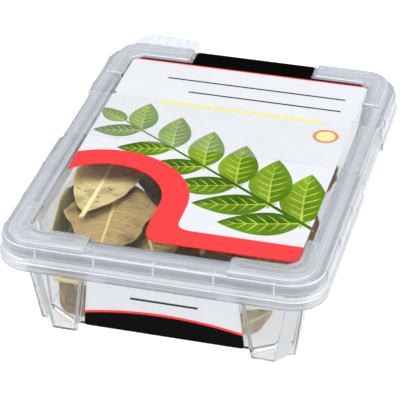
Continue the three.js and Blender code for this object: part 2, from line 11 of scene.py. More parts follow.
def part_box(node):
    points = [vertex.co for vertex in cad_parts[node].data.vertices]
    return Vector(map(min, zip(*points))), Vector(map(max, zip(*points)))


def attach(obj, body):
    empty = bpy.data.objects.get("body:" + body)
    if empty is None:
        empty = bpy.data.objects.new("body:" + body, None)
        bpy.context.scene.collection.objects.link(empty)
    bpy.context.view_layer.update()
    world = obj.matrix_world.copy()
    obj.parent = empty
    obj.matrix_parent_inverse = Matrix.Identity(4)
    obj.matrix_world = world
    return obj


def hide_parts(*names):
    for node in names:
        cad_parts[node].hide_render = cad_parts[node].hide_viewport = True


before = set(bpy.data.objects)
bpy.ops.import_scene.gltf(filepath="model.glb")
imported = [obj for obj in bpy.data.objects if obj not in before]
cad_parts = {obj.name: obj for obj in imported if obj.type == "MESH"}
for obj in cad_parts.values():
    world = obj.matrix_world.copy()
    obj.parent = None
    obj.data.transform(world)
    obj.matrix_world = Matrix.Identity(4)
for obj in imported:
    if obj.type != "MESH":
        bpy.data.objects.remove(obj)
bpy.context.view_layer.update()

# Everything below is in millimetres from the middle of the lid, the feet at z = 0.
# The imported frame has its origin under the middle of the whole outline, so y moves back by half the tab.
tabShift = -4.6
mm = 0.001


def place(x, y, z):
    return (x * mm, (y + tabShift) * mm, z * mm)


# small helpers

def linear(hexColour):
    out = []
    for i in (1, 3, 5):
        c = int(hexColour[i:i + 2], 16) / 255
        out.append(c / 12.92 if c <= 0.04045 else ((c + 0.055) / 1.055) ** 2.4)
    return (*out, 1)


# the setting that tells a kind of node apart most, so that a call can give it as one word
mainSetting = {"Math": "operation", "VectorMath": "operation", "MapRange": "interpolation_type", "Mix": "data_type",
               "Attribute": "attribute_name"}


def addNode(tree, kind, settings=None, links=None, **values):
    # settings are node attributes; links feed sockets, by name or as a list in order, from a node, from
    # (node, output) or with a plain value
    node = tree.nodes.new("ShaderNode" + kind)
    if isinstance(settings, str):
        settings = {mainSetting[kind]: settings}
    for key, value in (settings or {}).items():
        setattr(node, key, value)
    for key, value in values.items():
        node.inputs[key.replace("_", " ")].default_value = value
    for key, value in (enumerate(links) if isinstance(links, list) else (links or {}).items()):
        source, output = value if isinstance(value, tuple) and isinstance(value[0], bpy.types.Node) else (value, 0)
        if isinstance(source, bpy.types.Node):
            tree.links.new(source.outputs[output], node.inputs[key])
        else:
            node.inputs[key].default_value = source
    return node


def span(low, high, start=0, end=1):
    # settings of a map range
    return {"From_Min": low, "From_Max": high, "To_Min": start, "To_Max": end}


def newMaterial(name):
    material = bpy.data.materials.new(name)
    material.use_nodes = True
    material.node_tree.nodes.clear()
    return material, partial(addNode, material.node_tree)


def surfaced(material, shader):
    addNode(material.node_tree, "OutputMaterial", links={"Surface": shader})
    return material


def meshObject(name, vertices, faces, inMm=True):
    mesh = bpy.data.meshes.new(name)
    mesh.from_pydata([place(*v) for v in vertices] if inMm else vertices, [], faces)
    mesh.validate()
    obj = bpy.data.objects.new(name, mesh)
    bpy.context.scene.collection.objects.link(obj)
    return obj


def settle(obj):
    # modifiers become part of the mesh
    graph = bpy.context.evaluated_depsgraph_get()
    mesh = bpy.data.meshes.new_from_object(obj.evaluated_get(graph))
    obj.modifiers.clear()
    obj.data = mesh
    return obj


def combine(base, parts, operation="UNION"):
    for part in parts:
        cut = base.modifiers.new(operation.lower(), "BOOLEAN")
        cut.operation = operation
        cut.solver = "MANIFOLD"
        cut.object = part
        settle(base)
        bpy.data.objects.remove(part)
    return base


def finishHard(obj, angle=32):
    # smooth faces with crisp edges, and flat faces that keep their own normals
    for polygon in obj.data.polygons:
        polygon.use_smooth = True
    obj.data.set_sharp_from_angle(angle=math.radians(angle))
    weighted = obj.modifiers.new("flatNormals", "WEIGHTED_NORMAL")
    weighted.keep_sharp = True
    weighted.weight = 100


def wear(obj, material, cadNodes):
    obj.data.materials.clear()
    obj.data.materials.append(material)
    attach(obj, "root")
    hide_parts(*cadNodes)


# outlines and lofts

cornerSigns = ((1, 1), (-1, 1), (-1, -1), (1, -1))   # anticlockwise


def roundedRect(halfX, halfY, radius, steps):
    # anticlockwise, one list of points for each corner from +X +Y on
    corners = []
    for corner, (sx, sy) in enumerate(cornerSigns):
        arc = []
        for i in range(steps + 1):
            turn = (corner + i / steps) * math.pi / 2
            arc.append((sx * (halfX - radius) + radius * math.cos(turn),
                        sy * (halfY - radius) + radius * math.sin(turn)))
        corners.append(arc)
    return corners


def quarterRound(steps, first=0):
    # (1 - cos, 1 - sin) at equal steps of a quarter turn
    turns = [i / steps * math.pi / 2 for i in range(first, steps + 1)]
    return [(1 - math.cos(turn), 1 - math.sin(turn)) for turn in turns]


def mirrored(points, sx, sy):
    # into another quarter, still anticlockwise
    points = [(sx * x, sy * y) for x, y in points]
    return points if sx * sy > 0 else points[::-1]


def filletOutline(points, radius, steps=4):
    # every corner of an anticlockwise outline gets a small round, smaller where its sides are short
    out = []
    count = len(points)
    for i in range(count):
        a, b, c = (Vector(points[(i + k) % count]) for k in (-1, 0, 1))
        back, ahead = a - b, c - b
        reach = min(radius, back.length * 0.45, ahead.length * 0.45)
        start, end = b + back.normalized() * reach, b + ahead.normalized() * reach
        for k in range(steps + 1):
            t = k / steps
            out.append(tuple(start * (1 - t) ** 2 + b * 2 * t * (1 - t) + end * t * t))
    return out


def insetOutline(points, distance):
    # moves each side of an anticlockwise outline inwards
    out = []
    count = len(points)
    for i in range(count):
        a, b, c = (Vector(points[(i + k) % count]) for k in (-1, 0, 1))
        n1 = Vector((-(b - a).y, (b - a).x)).normalized()
        n2 = Vector((-(c - b).y, (c - b).x)).normalized()
        m = (n1 + n2) / max(0.3, 1 + n1.dot(n2))
        out.append(tuple(b + m * distance))
    return out


def loft(name, rings, closeBottom=True, closeTop=True):
    # rings of (x, y, z), lowest first, anticlockwise, equal in number
    count = len(rings[0])
    vertices = [p for ring in rings for p in ring]
    faces = []
    for level in range(len(rings) - 1):
        for i in range(count):
            a = level * count + i
            b = level * count + (i + 1) % count
            faces.append((a, b, b + count, a + count))
    if closeBottom:
        faces.append(tuple(reversed(range(count))))
    if closeTop:
        last = (len(rings) - 1) * count
        faces.append(tuple(range(last, last + count)))
    return meshObject(name, vertices, faces)


def atHeight(points, z):
    return [(x, y, z) for x, y in points]


def extrudeAcross(profile, width):
    # a profile of (outward, height) drawn out across, centred on its own middle
    count = len(profile)
    vertices = [(o, side * width / 2, z) for side in (-1, 1) for o, z in profile]
    faces = [(i, (i + 1) % count, count + (i + 1) % count, count + i) for i in range(count)]
    faces += [tuple(reversed(range(count))), tuple(range(count, 2 * count))]
    return vertices, faces


def fixNormals(obj):
    work = bmesh.new()
    work.from_mesh(obj.data)
    bmesh.ops.recalc_face_normals(work, faces=work.faces)
    work.to_mesh(obj.data)
    work.free()
    return obj


print("frame loaded, helpers ready")

# camera, floor, light

view = {
    "azimuth": 14.59, "elevation": 32.024, "roll": 0.192,  # degrees, as the photograph was taken
    "distance": 752.29, "target": (-2.88, -0.918, 20.0),   # mm
    "lens": 193.62, "shift": (-0.00072, 0.00091),
}

a, e, r = (math.radians(view[k]) for k in ("azimuth", "elevation", "roll"))
forward = Vector((-math.sin(a) * math.cos(e), math.cos(a) * math.cos(e), -math.sin(e)))
right = Vector((math.cos(a), math.sin(a), 0))
up = right.cross(forward)
right, up = right * math.cos(r) + up * math.sin(r), up * math.cos(r) - right * math.sin(r)
cameraData = bpy.data.cameras.new("camera")
cameraData.sensor_width = 36
cameraData.lens = view["lens"]
cameraData.shift_x, cameraData.shift_y = view["shift"]
cameraData.clip_start, cameraData.clip_end = 0.05, 20
camera = bpy.data.objects.new("camera", cameraData)
turn = Matrix((right, up, -forward)).transposed().to_4x4()
camera.matrix_world = Matrix.Translation(Vector(place(*view["target"])) - forward * view["distance"] * mm) @ turn
bpy.context.scene.collection.objects.link(camera)
bpy.context.scene.camera = camera

studio = {
    "floor": "#a6a6a6", "floorGlow": 0.86, "floorSize": 8.0,
    "sky": 0.6, "backdrop": 0.08, "backdropAt": (-0.22, 0.82, 0.53), "backdropReach": (0.42, 0.9),
    # metres and watts: a softbox overhead, weak fill from the right and the front, one small glint
    "key": {"at": (-0.10, -0.15, 1.2), "size": (0.65, 0.65), "power": 8.6},
    "side": {"at": (1.1, 0.2, 0.8), "size": (0.8, 0.6), "power": 1.6},
    "front": {"at": (0.5, -1.1, 0.5), "size": (0.7, 0.5), "power": 0.4},
    "glint": {"at": (0.75, -0.08, 0.80), "size": (0.06, 0.06), "power": 2.2},
}

floor = meshObject("floor", [(x * studio["floorSize"] / 2, y * studio["floorSize"] / 2, -0.00002)
                             for x, y in ((-1, -1), (1, -1), (1, 1), (-1, 1))], [(0, 1, 2, 3)], inMm=False)
# opal acrylic lit from below: white, and it takes no shadow
floorMaterial, add = newMaterial("opalLightTable")
fibre = add("TexNoise", Scale=900, Detail=3)
shade = add("MapRange", links=[fibre], **span(0, 1, 0.55, 0.7))
glow = add("BsdfPrincipled", links={"Roughness": shade}, Base_Color=linear(studio["floor"]),
           Emission_Color=linear("#ffffff"), Emission_Strength=studio["floorGlow"])
floor.data.materials.append(surfaced(floorMaterial, glow))

world = bpy.data.worlds.new("studio")
bpy.context.scene.world = world
world.use_nodes = True
world.node_tree.nodes.clear()
add = partial(addNode, world.node_tree)
where = add("TexCoord")
# a dark backdrop behind the tub keeps white veils off the label and the lid
toward = add("VectorMath", "DOT_PRODUCT", {"Vector": (where, "Generated")})
toward.inputs[1].default_value = Vector(studio["backdropAt"]).normalized()
nearest, farthest = studio["backdropReach"]
lift = add("MapRange", "SMOOTHSTEP", [(toward, "Value")], **span(nearest, farthest, studio["sky"], studio["backdrop"]))
sky = add("Background", links={"Strength": lift}, Color=linear("#fafbff"))
add("OutputWorld", links={"Surface": sky})

for name in ("key", "side", "front", "glint"):
    spec = studio[name]
    data = bpy.data.lights.new(name, "AREA")
    data.shape = "RECTANGLE"
    data.size, data.size_y = spec["size"]
    data.energy = spec["power"]
    lamp = bpy.data.objects.new(name, data)
    lamp.location = spec["at"]
    lamp.rotation_euler = (Vector((0, 0, 0.02)) - Vector(spec["at"])).to_track_quat("-Z", "Y").to_euler()
    bpy.context.scene.collection.objects.link(lamp)

scene = bpy.context.scene
scene.view_settings.view_transform = "Standard"
scene.cycles.max_bounces = 20
scene.cycles.transmission_bounces = 18
scene.cycles.transparent_max_bounces = 32
scene.cycles.blur_glossy = 0.3
print("camera, floor and lights placed")

# clear plastics

plastics = {
    # moulded polypropylene: clear on the flat panel and walls, a streaky grey haze where it turns and thickens;
    # the haze starts off (mm) outside the panel's core, or above a height; rough is for the clear and the hazy parts;
    # edge is the white of painted highlights on turned edges, ribs, ridges' tops and sides, and the rounds between
    # walls
    "tray": {"tint": ("#eaebec", "#eff1f3"), "haze": (0.02, 0.4), "hazeColour": "#b4b9c0", "rough": (0.05, 0.2),
             "ior": 1.47, "pass": "#f5f5f5", "off": 60.0, "above": 32.6, "ridge": 1.0, "paintedRidgeHighlight": 0.0,
             "corners": 1.0, "edge": "#d3d6d9"},
    "lid": {"tint": ("#f7f7f7", "#f3f4f6"), "haze": (0.01, 0.36), "hazeColour": "#a3a8b1", "rough": (0.02, 0.2),
            "ior": 1.47, "pass": "#f6f6f6", "off": 3.8, "above": 38.7, "ridge": 0.8, "paintedRidgeHighlight": 0.6,
            "corners": 0.0, "edge": "#eef1f4"},
    # shrink film: a faint veil, stronger along its cut ends
    "film": {"tint": "#eef0f3", "veil": 0.07, "cutVeil": 0.3, "cut": (0.4, 0.7), "rough": 0.08, "ior": 1.49},
    "core": (42.8, 60.0),      # mm, where the lid's corner arcs have their centres
    "fade": (0.8, 0.3),        # mm over which the haze sets in, outwards and upwards
    "streak": 1.2, "streakShare": 0.5, "streakRange": (0.5, 0.66),   # mm wide, along rim and skirt, and how white the painted highlight lines on the brightest streaks get
    "blend": (0.4, 0.2, 0.9), "blendRange": (0.6, 1.1),   # shares of drift, even haze and streaks, and their sum
    "uneven": (0.6, 1.4),      # thinnest and thickest haze
    "paintedEdgeHighlight": 0.55,          # share of haze that the painted edge highlight takes
    # how far a normal leans on a turned edge, a level face, a ridge's side and a round between two walls
    "lean": (0.35, 0.6), "level": (0.75, 0.92), "stand": (0.2, 0.4), "between": (0.25, 0.5),
    "tabFrom": 12.6, "tabTint": "#dcdfe4",   # mm outside the core; the thin lift tab is greyer on a white ground
    "rib": (11.6, 33.0),       # mm, how far out and how high the ribs' faces stand
}


def clearPlastic(name, spec):
    material, add = newMaterial(name)
    spot = (add("TexCoord"), "Object")
    # distance outwards from the core of the lid, in metres
    middle = add("VectorMath", "SUBTRACT", [spot, [0, tabShift * mm, 0]])
    flat = add("VectorMath", "MULTIPLY", [middle, [1, 1, 0]])
    quarter = add("VectorMath", "ABSOLUTE", [flat])
    core = [plastics["core"][0] * mm, plastics["core"][1] * mm, 0]
    past = add("VectorMath", "SUBTRACT", [quarter, core])
    outward = add("VectorMath", "MAXIMUM", [past, [0, 0, 0]])
    away = (add("VectorMath", "LENGTH", [outward]), "Value")
    height = (add("SeparateXYZ", links=[spot]), "Z")
    wide, high = plastics["fade"]
    beyond, raised, onTab = [
        add("MapRange", links=[value], **span(start * mm, (start + fade) * mm))
        for value, start, fade in ((away, spec["off"], wide), (height, spec["above"], high),
                                   (away, plastics["tabFrom"], wide))]
    onRidge = add("Math", "MULTIPLY", [raised, spec["ridge"]])
    hazy = add("Math", "MAXIMUM", [beyond, onRidge])
    # streaks run along the edges: the same distance and height give the same tone
    across = add("CombineXYZ", links={"X": away, "Y": height})
    streak = add("TexNoise", links=[across], Scale=1 / (plastics["streak"] * mm), Detail=1, Roughness=0.5)
    # and the haze drifts over some 17 mm
    drift, steady, streaky = plastics["blend"]
    cloud = add("TexNoise", links=[spot], Scale=60, Detail=3)
    calm = add("Math", "MULTIPLY_ADD", [cloud, drift, steady])
    mixed = add("Math", "MULTIPLY_ADD", [streak, streaky, calm])
    thinnest, thickest = (spec["haze"][1] * k for k in plastics["uneven"])
    uneven = add("MapRange", links=[mixed], **span(*plastics["blendRange"], thinnest, thickest))
    # painted highlights: turned edges, ribs, ridges' sides and rounds between walls are painted whiter, where the
    # normal leans or the face stands out past the skirt
    facing = add("NewGeometry")
    normal = add("SeparateXYZ", links=[(facing, "Normal")])
    sideX, sideY, upright = [add("Math", "ABSOLUTE", [(normal, axis)]) for axis in "XYZ"]
    sideways = add("Math", "MINIMUM", [sideX, sideY])
    leaning, level, standing, corner = [
        add("MapRange", "SMOOTHSTEP", [value], **span(*plastics[key], start, end))
        for value, key, start, end in ((upright, "lean", 0, 1), (upright, "level", 1, 0),
                                       (upright, "stand", spec["paintedRidgeHighlight"], 0),
                                       (sideways, "between", 0, spec["corners"]))]
    turned = add("Math", "MULTIPLY", [leaning, level])
    ribOut, ribUp = plastics["rib"]
    outMost = add("Math", "GREATER_THAN", [away, ribOut * mm])
    upper = add("Math", "GREATER_THAN", [height, ribUp * mm])
    ribFace = add("Math", "MULTIPLY", [outMost, upper])
    ridgeSide = add("Math", "MULTIPLY", [standing, raised])
    paintedHighlightMask, where = turned, beyond
    for part in (ribFace, ridgeSide, corner):
        paintedHighlightMask = add("Math", "MAXIMUM", [paintedHighlightMask, part])
    for part in (raised, spec["corners"]):
        where = add("Math", "MAXIMUM", [where, part])
    edge = add("Math", "MULTIPLY", [paintedHighlightMask, where])
    # the painted edge highlight also thickens the haze there
    paintedEdgeHighlight = add("Math", "MULTIPLY", [edge, plastics["paintedEdgeHighlight"]])
    bulk = add("Mix", links={0: hazy, 2: spec["haze"][0], 3: uneven})
    share = add("Math", "MAXIMUM", [bulk, paintedEdgeHighlight])
    # painted highlight lines: the brightest streaks and the ridges' tops take some of the edges' painted white; the
    # streaky haze itself is the plastic's own
    lines = add("MapRange", "SMOOTHSTEP", [streak], **span(*plastics["streakRange"], 0, plastics["streakShare"]))
    ridgeTopHighlight = add("Math", "MULTIPLY", [raised, spec["paintedRidgeHighlight"]])
    white = edge
    for part in (ridgeTopHighlight, lines):
        white = add("Math", "MAXIMUM", [white, part])
    # haze colour, turning to the painted highlight white on edges, ribs, ridges and streak lines
    hazeAndHighlightColour = add("Mix", "RGBA", {0: white, 6: linear(spec["hazeColour"]), 7: linear(spec["edge"])})
    rough = add("MapRange", links=[hazy], **span(0, 1, *spec["rough"]))
    bump = add("Bump", links={"Height": streak}, Strength=0.02, Distance=0.0002)
    tint = add("Mix", "RGBA", {0: hazy, 6: linear(spec["tint"][0]), 7: linear(spec["tint"][1])})
    tabTint = add("Mix", "RGBA", {0: onTab, 6: (tint, 2), 7: linear(plastics["tabTint"])})
    glass = add("BsdfPrincipled", Transmission_Weight=1.0, IOR=spec["ior"], links={
        "Base Color": (tabTint, 2), "Roughness": rough, "Normal": bump})
    haze = add("BsdfPrincipled", IOR=spec["ior"], links={"Base Color": (hazeAndHighlightColour, 2), "Roughness": rough, "Normal": bump})
    body = add("MixShader", links=[share, glass, haze])
    # lamps shine through, so that what lies inside is lit
    through = add("BsdfTransparent", Color=linear(spec["pass"]))
    path = add("LightPath")
    mix = add("MixShader", links=[(path, "Is Shadow Ray"), body, through])
    return surfaced(material, mix)


trayPlastic = clearPlastic("mouldedPolypropyleneTray", plastics["tray"])
lidPlastic = clearPlastic("mouldedPolypropyleneLid", plastics["lid"])


def shrinkFilm(name, spec):
    # thin stretched film, seen only as a faint veil and by its cut ends
    material, add = newMaterial(name)
    facing = add("NewGeometry")
    normal = add("SeparateXYZ", links=[(facing, "Normal")])
    along = add("Math", "ABSOLUTE", [(normal, "Y")])
    spot = (add("TexCoord"), "Object")
    stretch = add("TexNoise", links=[spot], Scale=40, Detail=3)
    thinnest, thickest = (spec["veil"] * k for k in plastics["uneven"])
    veil = add("MapRange", links=[stretch], **span(0, 1, thinnest, thickest))
    share = add("MapRange", "SMOOTHSTEP", {"Value": along, "To Min": veil}, **span(*spec["cut"], 0, spec["cutVeil"]))
    film = add("BsdfPrincipled", links={"Alpha": share}, Base_Color=linear(spec["tint"]),
               Roughness=spec["rough"], IOR=spec["ior"])
    return surfaced(material, film)


filmPlastic = shrinkFilm("shrinkFilm", plastics["film"])

# tray

tray = {
    "height": 37.2, "wall": 0.8, "floorBottom": 2.0, "floor": 0.9,
    "half": (41.8, 58.6), "draft": (0.13, 0.1), "relief": 2.2,
    "column": (29.8, 38.1, -0.135, 0.163),   # inner and outer edge at the feet, and how each moves per mm of height
    "lug": (50.0, 55.8, -0.09, 0.163),
    "slant": 0.55,      # how much of an inset a column's slanted side takes
    "edge": 0.9, "flange": (51.9, 70.4, 10.4), "flangeThick": 1.0, "lipDrop": 3.6, "lipThick": 0.9,
    # rounds, as steps of how far up and how far in
    "bottomRound": ((0, 0.6), (0.2, 0.2), (0.7, 0)), "insideRound": ((0, 0.5), (0.2, 0.15), (0.6, 0)),
    "footRound": ((0, 0.3), (0.3, 0.02)), "lipRound": 0.35, "flangeRound": ((-0.4, 0), (-0.12, 0.12), (0, 0.4)),
    "underRound": 0.3,
}


def trayEdges(z, inset):
    # walls, columns and lugs at one height, pulled in
    wallX, wallY = (tray["half"][k] + tray["draft"][k] * z - inset for k in (0, 1))
    columnIn, lugIn = (tray[k][0] + tray[k][2] * z + inset for k in ("column", "lug"))
    columnOut = tray["column"][1] + tray["column"][3] * z - inset * tray["slant"]
    lugOut = tray["lug"][1] + tray["lug"][3] * z - inset
    return wallX, wallY, wallX + tray["relief"], wallY + tray["relief"], columnIn, columnOut, lugIn, lugOut


def trayOutline(z, inset=0):
    wallX, wallY, stepX, stepY, columnIn, columnOut, lugIn, lugOut = trayEdges(z, inset)
    quarter = [(wallX, lugIn), (stepX, lugIn), (stepX, lugOut), (wallX, lugOut), (columnOut, stepY),
               (columnIn, stepY), (columnIn, wallY)]
    half = quarter + [(-x, y) for x, y in reversed(quarter)]
    return filletOutline(half + [(x, -y) for x, y in reversed(half)], tray["edge"])


def footOutline(z, inset, sx, sy):
    wallX, wallY, stepX, stepY, columnIn, columnOut, _, lugOut = trayEdges(z, inset)
    lugIn = tray["lug"][0] + inset
    points = [(stepX, lugIn), (stepX, lugOut), (wallX, lugOut), (columnOut, stepY), (columnIn, stepY),
              (columnIn, wallY - inset / 2), (wallX - inset / 2, lugIn)]
    return filletOutline(mirrored(points, sx, sy), tray["edge"])


def makeTray():
    bottom, top, wall, lip = (tray[k] for k in ("floorBottom", "height", "wall", "lipThick"))
    inside = bottom + tray["floor"]
    middle = 18   # one more ring halfway up the wall
    shell = loft("tray", [atHeight(trayOutline(z, i), z) for z, i in
                          [(bottom + up, i) for up, i in tray["bottomRound"]] + [(middle, 0), (top, 0)]])
    feet = [loft("foot", [atHeight(footOutline(z, i, sx, sy), z) for z, i in
                          (*tray["footRound"], (bottom + 2, tray["footRound"][-1][1]))]) for sx, sy in cornerSigns]
    x, y, radius = tray["flange"]
    under, plate = top - tray["flangeThick"] - tray["lipDrop"], top - tray["flangeThick"]
    ring = lambda i, z: atHeight(sum(roundedRect(x - i, y - i, radius - i, 10), []), z)
    flange = loft("flange", [ring(tray["lipRound"], under), ring(0, under + tray["lipRound"])] +
                  [ring(i, top + up) for up, i in tray["flangeRound"]])
    flangeHollow = loft("flangeHollow", [ring(lip, under - 1), ring(lip, plate - tray["underRound"]),
                                         ring(lip + tray["underRound"], plate)])
    combine(flange, [flangeHollow], "DIFFERENCE")
    combine(shell, feet + [flange])
    cavity = loft("cavity", [atHeight(trayOutline(z, wall + i), z) for z, i in
                             [(inside + up, i) for up, i in tray["insideRound"]] + [(top + 1, 0)]])
    wells = [loft("well", [atHeight(footOutline(z, wall, sx, sy), z) for z in (tray["floor"], inside + 0.4)])
             for sx, sy in cornerSigns]
    combine(shell, [cavity] + wells, "DIFFERENCE")
    finishHard(shell)
    wear(shell, trayPlastic, ["tub"])


makeTray()
print("tray made")

# lid

lid = {
    "half": (55.0, 72.2), "radius": 12.2, "top": 39.0, "skirt": 9.8, "wall": 0.9,
    "lip": 0.5, "lipHeight": 3.0, "lean": 0.25, "round": 1.7, "crown": 0.28, "rim": 1.2,
    # steps of how far in and how far up: the lip's lower edge, the edge of the panel, the skirt's hollow
    "lipFoot": ((0.3, 0), (0.05, 0.12), (0, 0.35)), "panelEdge": ((-0.08, -0.05), (0.1, 0.08), (0.4, 0)),
    "hollowTop": ((-0.05, -0.7), (0.15, -0.2), (0.7, 0)),
    "panel": (47.9, 65.0, 7.0), "panelDepth": 0.5, "bay": (22.9, 70.6),
    "waist": (1.0, -0.5, 32.5, 1.5),  # depth, from, to, slope along the long sides
    "ridge": {"height": 1.3, "innerX": 44.6, "outerX": 51.0, "innerY": 61.8, "outerY": 70.9,
              "endX": 23.5, "endY": 46.0, "innerRadius": 3.0, "outerRadius": 9.0, "wall": 0.85,
              "edge": 0.9, "topRound": ((0, 0.95), (0.1, 0.55), (0.35, 0.22), (0.75, 0.04), (1.2, 0))},
    "rib": {"pitch": 19.8, "width": 0.6, "proud": 0.32, "bottom": 32.0, "reach": 2.6},
    "tab": {"x": -35.6, "half": 12.2, "reach": 9.2, "top": 38.3, "thick": 1.1, "corner": 7.0, "flat": 0.8,
            "ribs": 5, "pitch": 3.9, "ribWidth": 1.0, "proud": 0.5},
}


def lidRing(inset, z):
    # lid outline pulled in, with the waist under the band on both long sides
    halfX, halfY = lid["half"][0] - inset, lid["half"][1] - inset
    c = roundedRect(halfX, halfY, lid["radius"] - inset, 12)
    depth, start, end, slope = lid["waist"]
    pinch = [(halfX, start - slope), (halfX - depth * 0.5, start - slope * 0.5), (halfX - depth, start),
             (halfX - depth, end), (halfX - depth * 0.5, end + slope * 0.5), (halfX, end + slope)]
    bay = lid["bay"][0]
    far = [(bay + 0.3, halfY), (bay - 0.3, halfY), (-bay + 0.3, halfY), (-bay - 0.3, halfY)]
    left = [(-x, y) for x, y in reversed(pinch)]
    return atHeight(c[0] + far + c[1] + left + c[2] + c[3] + pinch, z)


def panelRing(inset, z):
    halfX, halfY, radius = lid["panel"]
    halfX, halfY, radius = halfX - inset, halfY - inset, radius - inset
    c = roundedRect(halfX, halfY, radius, 12)
    _, start, end, slope = lid["waist"]
    side = [(halfX, y) for y in (start - slope, start - slope * 0.5, start, end, end + slope * 0.5, end + slope)]
    bay, bayEnd = lid["bay"]
    far = [(bay - inset + 0.1, halfY), (bay - inset, bayEnd - inset), (-bay + inset, bayEnd - inset),
           (-bay + inset - 0.1, halfY)]
    return atHeight(c[0] + far + c[1] + [(-x, y) for x, y in reversed(side)] + c[2] + c[3] + side, z)


def lidShell():
    top, bottom = lid["top"], lid["top"] - lid["skirt"]
    lip, lipTop, face = lid["lip"], bottom + lid["lipHeight"], lid["lip"] + lid["lean"]
    rings = [lidRing(i, bottom + up) for i, up in lid["lipFoot"]]
    rings += [lidRing(0, lipTop - 0.2), lidRing(0.12, lipTop), lidRing(lip, lipTop + 0.35),
              lidRing(face, top - lid["round"])]
    shoulder = top - lid["crown"]
    rings += [lidRing(face + lid["round"] * i, shoulder - lid["round"] * down) for i, down in quarterRound(6, 1)]
    # the rim's top is slightly crowned between its outer round and the panel
    outer, inner = rings[-1], panelRing(-0.3, shoulder)
    for i in range(1, 6):
        t = i / 6
        z = shoulder + lid["crown"] * (1 - (2 * t - 1) ** 2)
        rings.append([(x1 + (x2 - x1) * t, y1 + (y2 - y1) * t, z) for (x1, y1, _), (x2, y2, _) in zip(outer, inner)])
    floorZ = top - lid["panelDepth"]
    (i1, up1), (i2, up2), (i3, up3) = lid["panelEdge"]
    rings += [inner, panelRing(i1, shoulder + up1), panelRing(i2, floorZ + up2), panelRing(i3, floorZ + up3)]
    shell = loft("lid", rings)
    within, ceiling = face + lid["wall"], top - lid["rim"]
    hollow = [lidRing(lip + lid["wall"] - 0.5, bottom - 1), lidRing(lip + lid["wall"] - 0.15, bottom + 0.6)]
    hollow += [lidRing(within + i, ceiling + up) for i, up in lid["hollowTop"]]
    return combine(shell, [loft("lidHollow", hollow)], "DIFFERENCE")


def ridgeOutline(sx, sy):
    g = lid["ridge"]
    points = [(g["endX"], g["outerY"]), (g["endX"], g["innerY"]), (g["innerX"] - g["innerRadius"], g["innerY"]),
              (g["innerX"], g["innerY"] - g["innerRadius"]), (g["innerX"], g["endY"]), (g["outerX"], g["endY"])]
    points += [(g["outerX"] - g["outerRadius"] * x, g["outerY"] - g["outerRadius"] * y) for x, y in quarterRound(8)]
    return mirrored(points, sx, sy)


def ridgePieces():
    solids, hollows = [], []
    g = lid["ridge"]
    top, root = lid["top"] + g["height"], lid["top"] - lid["panelDepth"] - 0.3
    for sx, sy in cornerSigns:
        outline = ridgeOutline(sx, sy)
        rings = [atHeight(filletOutline(insetOutline(outline, i), g["edge"]), z) for i, z in
                 [(0, root)] + [(i, top - down) for i, down in g["topRound"]]]
        solids.append(loft("ridge", rings))
        hollow = insetOutline(outline, g["wall"])
        hollows.append(loft("ridgeHollow", [atHeight(filletOutline(hollow, 0.5), z) for z in
                                            (lid["top"] - lid["rim"] - 0.6, top - g["wall"])]))
    return solids, hollows


def ribPieces():
    g = lid["rib"]
    top, face, proud = lid["top"] - lid["crown"], lid["lip"] + lid["lean"], g["proud"]
    # distance in from the lid's edge and height, up the skirt and over on to the rim
    profile = [(face + 0.4, g["bottom"]), (face - proud, g["bottom"] + 0.4), (face - proud, top - lid["round"])]
    for i in range(1, 6):
        turn = i / 5 * math.pi / 2
        radius = lid["round"] + proud
        profile.append((face + lid["round"] - radius * math.cos(turn), top - lid["round"] + radius * math.sin(turn)))
    profile += [(g["reach"], top + proud), (g["reach"] + 0.4, top - 0.6), (face + lid["round"], top - 0.6),
                (face + 0.45, top - lid["round"])]
    vertices, faces = extrudeAcross(profile, g["width"])
    ribs = []
    sides = [(-math.pi / 2, lid["half"][1], (-2, -1, 0, 1, 2)), (math.pi / 2, lid["half"][1], (-2, 2)),
             (0, lid["half"][0], (-3, -2, -1, 2, 3)), (math.pi, lid["half"][0], (-3, -2, 1, 2, 3))]
    for turn, edge, steps in sides:
        for step in steps:
            placed = []
            for inwards, along, z in vertices:
                x, y = edge - inwards, along + step * g["pitch"]
                placed.append((x * math.cos(turn) - y * math.sin(turn), x * math.sin(turn) + y * math.cos(turn), z))
            ribs.append(fixNormals(meshObject("rib", placed, faces)))
    return ribs


def tabPieces():
    g = lid["tab"]
    root, tip, c = lid["half"][1] - 1.6, lid["half"][1] + g["reach"], g["corner"]
    right = [(g["x"] + g["half"], root)]
    right += [(g["x"] + g["half"] - c * i, tip - c * g["flat"] * down) for i, down in quarterRound(8)]
    outline = right + [(2 * g["x"] - x, y) for x, y in reversed(right)]
    plate = loft("tab", [atHeight(insetOutline(outline, i), z) for i, z in
                         ((0.25, g["top"] - g["thick"]), (0, g["top"] - g["thick"] + 0.25), (0, g["top"] - 0.25),
                          (0.25, g["top"]))])
    ribs = []
    for i in range(g["ribs"]):
        x = g["x"] + (i - (g["ribs"] - 1) / 2) * g["pitch"]
        w = g["ribWidth"] / 2
        box = [(x + w, root), (x + w, tip - 1.7), (x - w, tip - 1.7), (x - w, root)]
        ribs.append(loft("tabRib", [atHeight(insetOutline(box, i), z) for i, z in
                                    ((0, g["top"] - 0.4), (0, g["top"] + g["proud"] - 0.2),
                                     (0.2, g["top"] + g["proud"]))]))
    return [plate] + ribs


def makeLid():
    shell = lidShell()
    solids, hollows = ridgePieces()
    combine(shell, solids + ribPieces() + tabPieces())
    combine(shell, hollows, "DIFFERENCE")
    finishHard(shell)
    wear(shell, lidPlastic, ["lid"])


makeLid()
print("lid made")

# printed labels

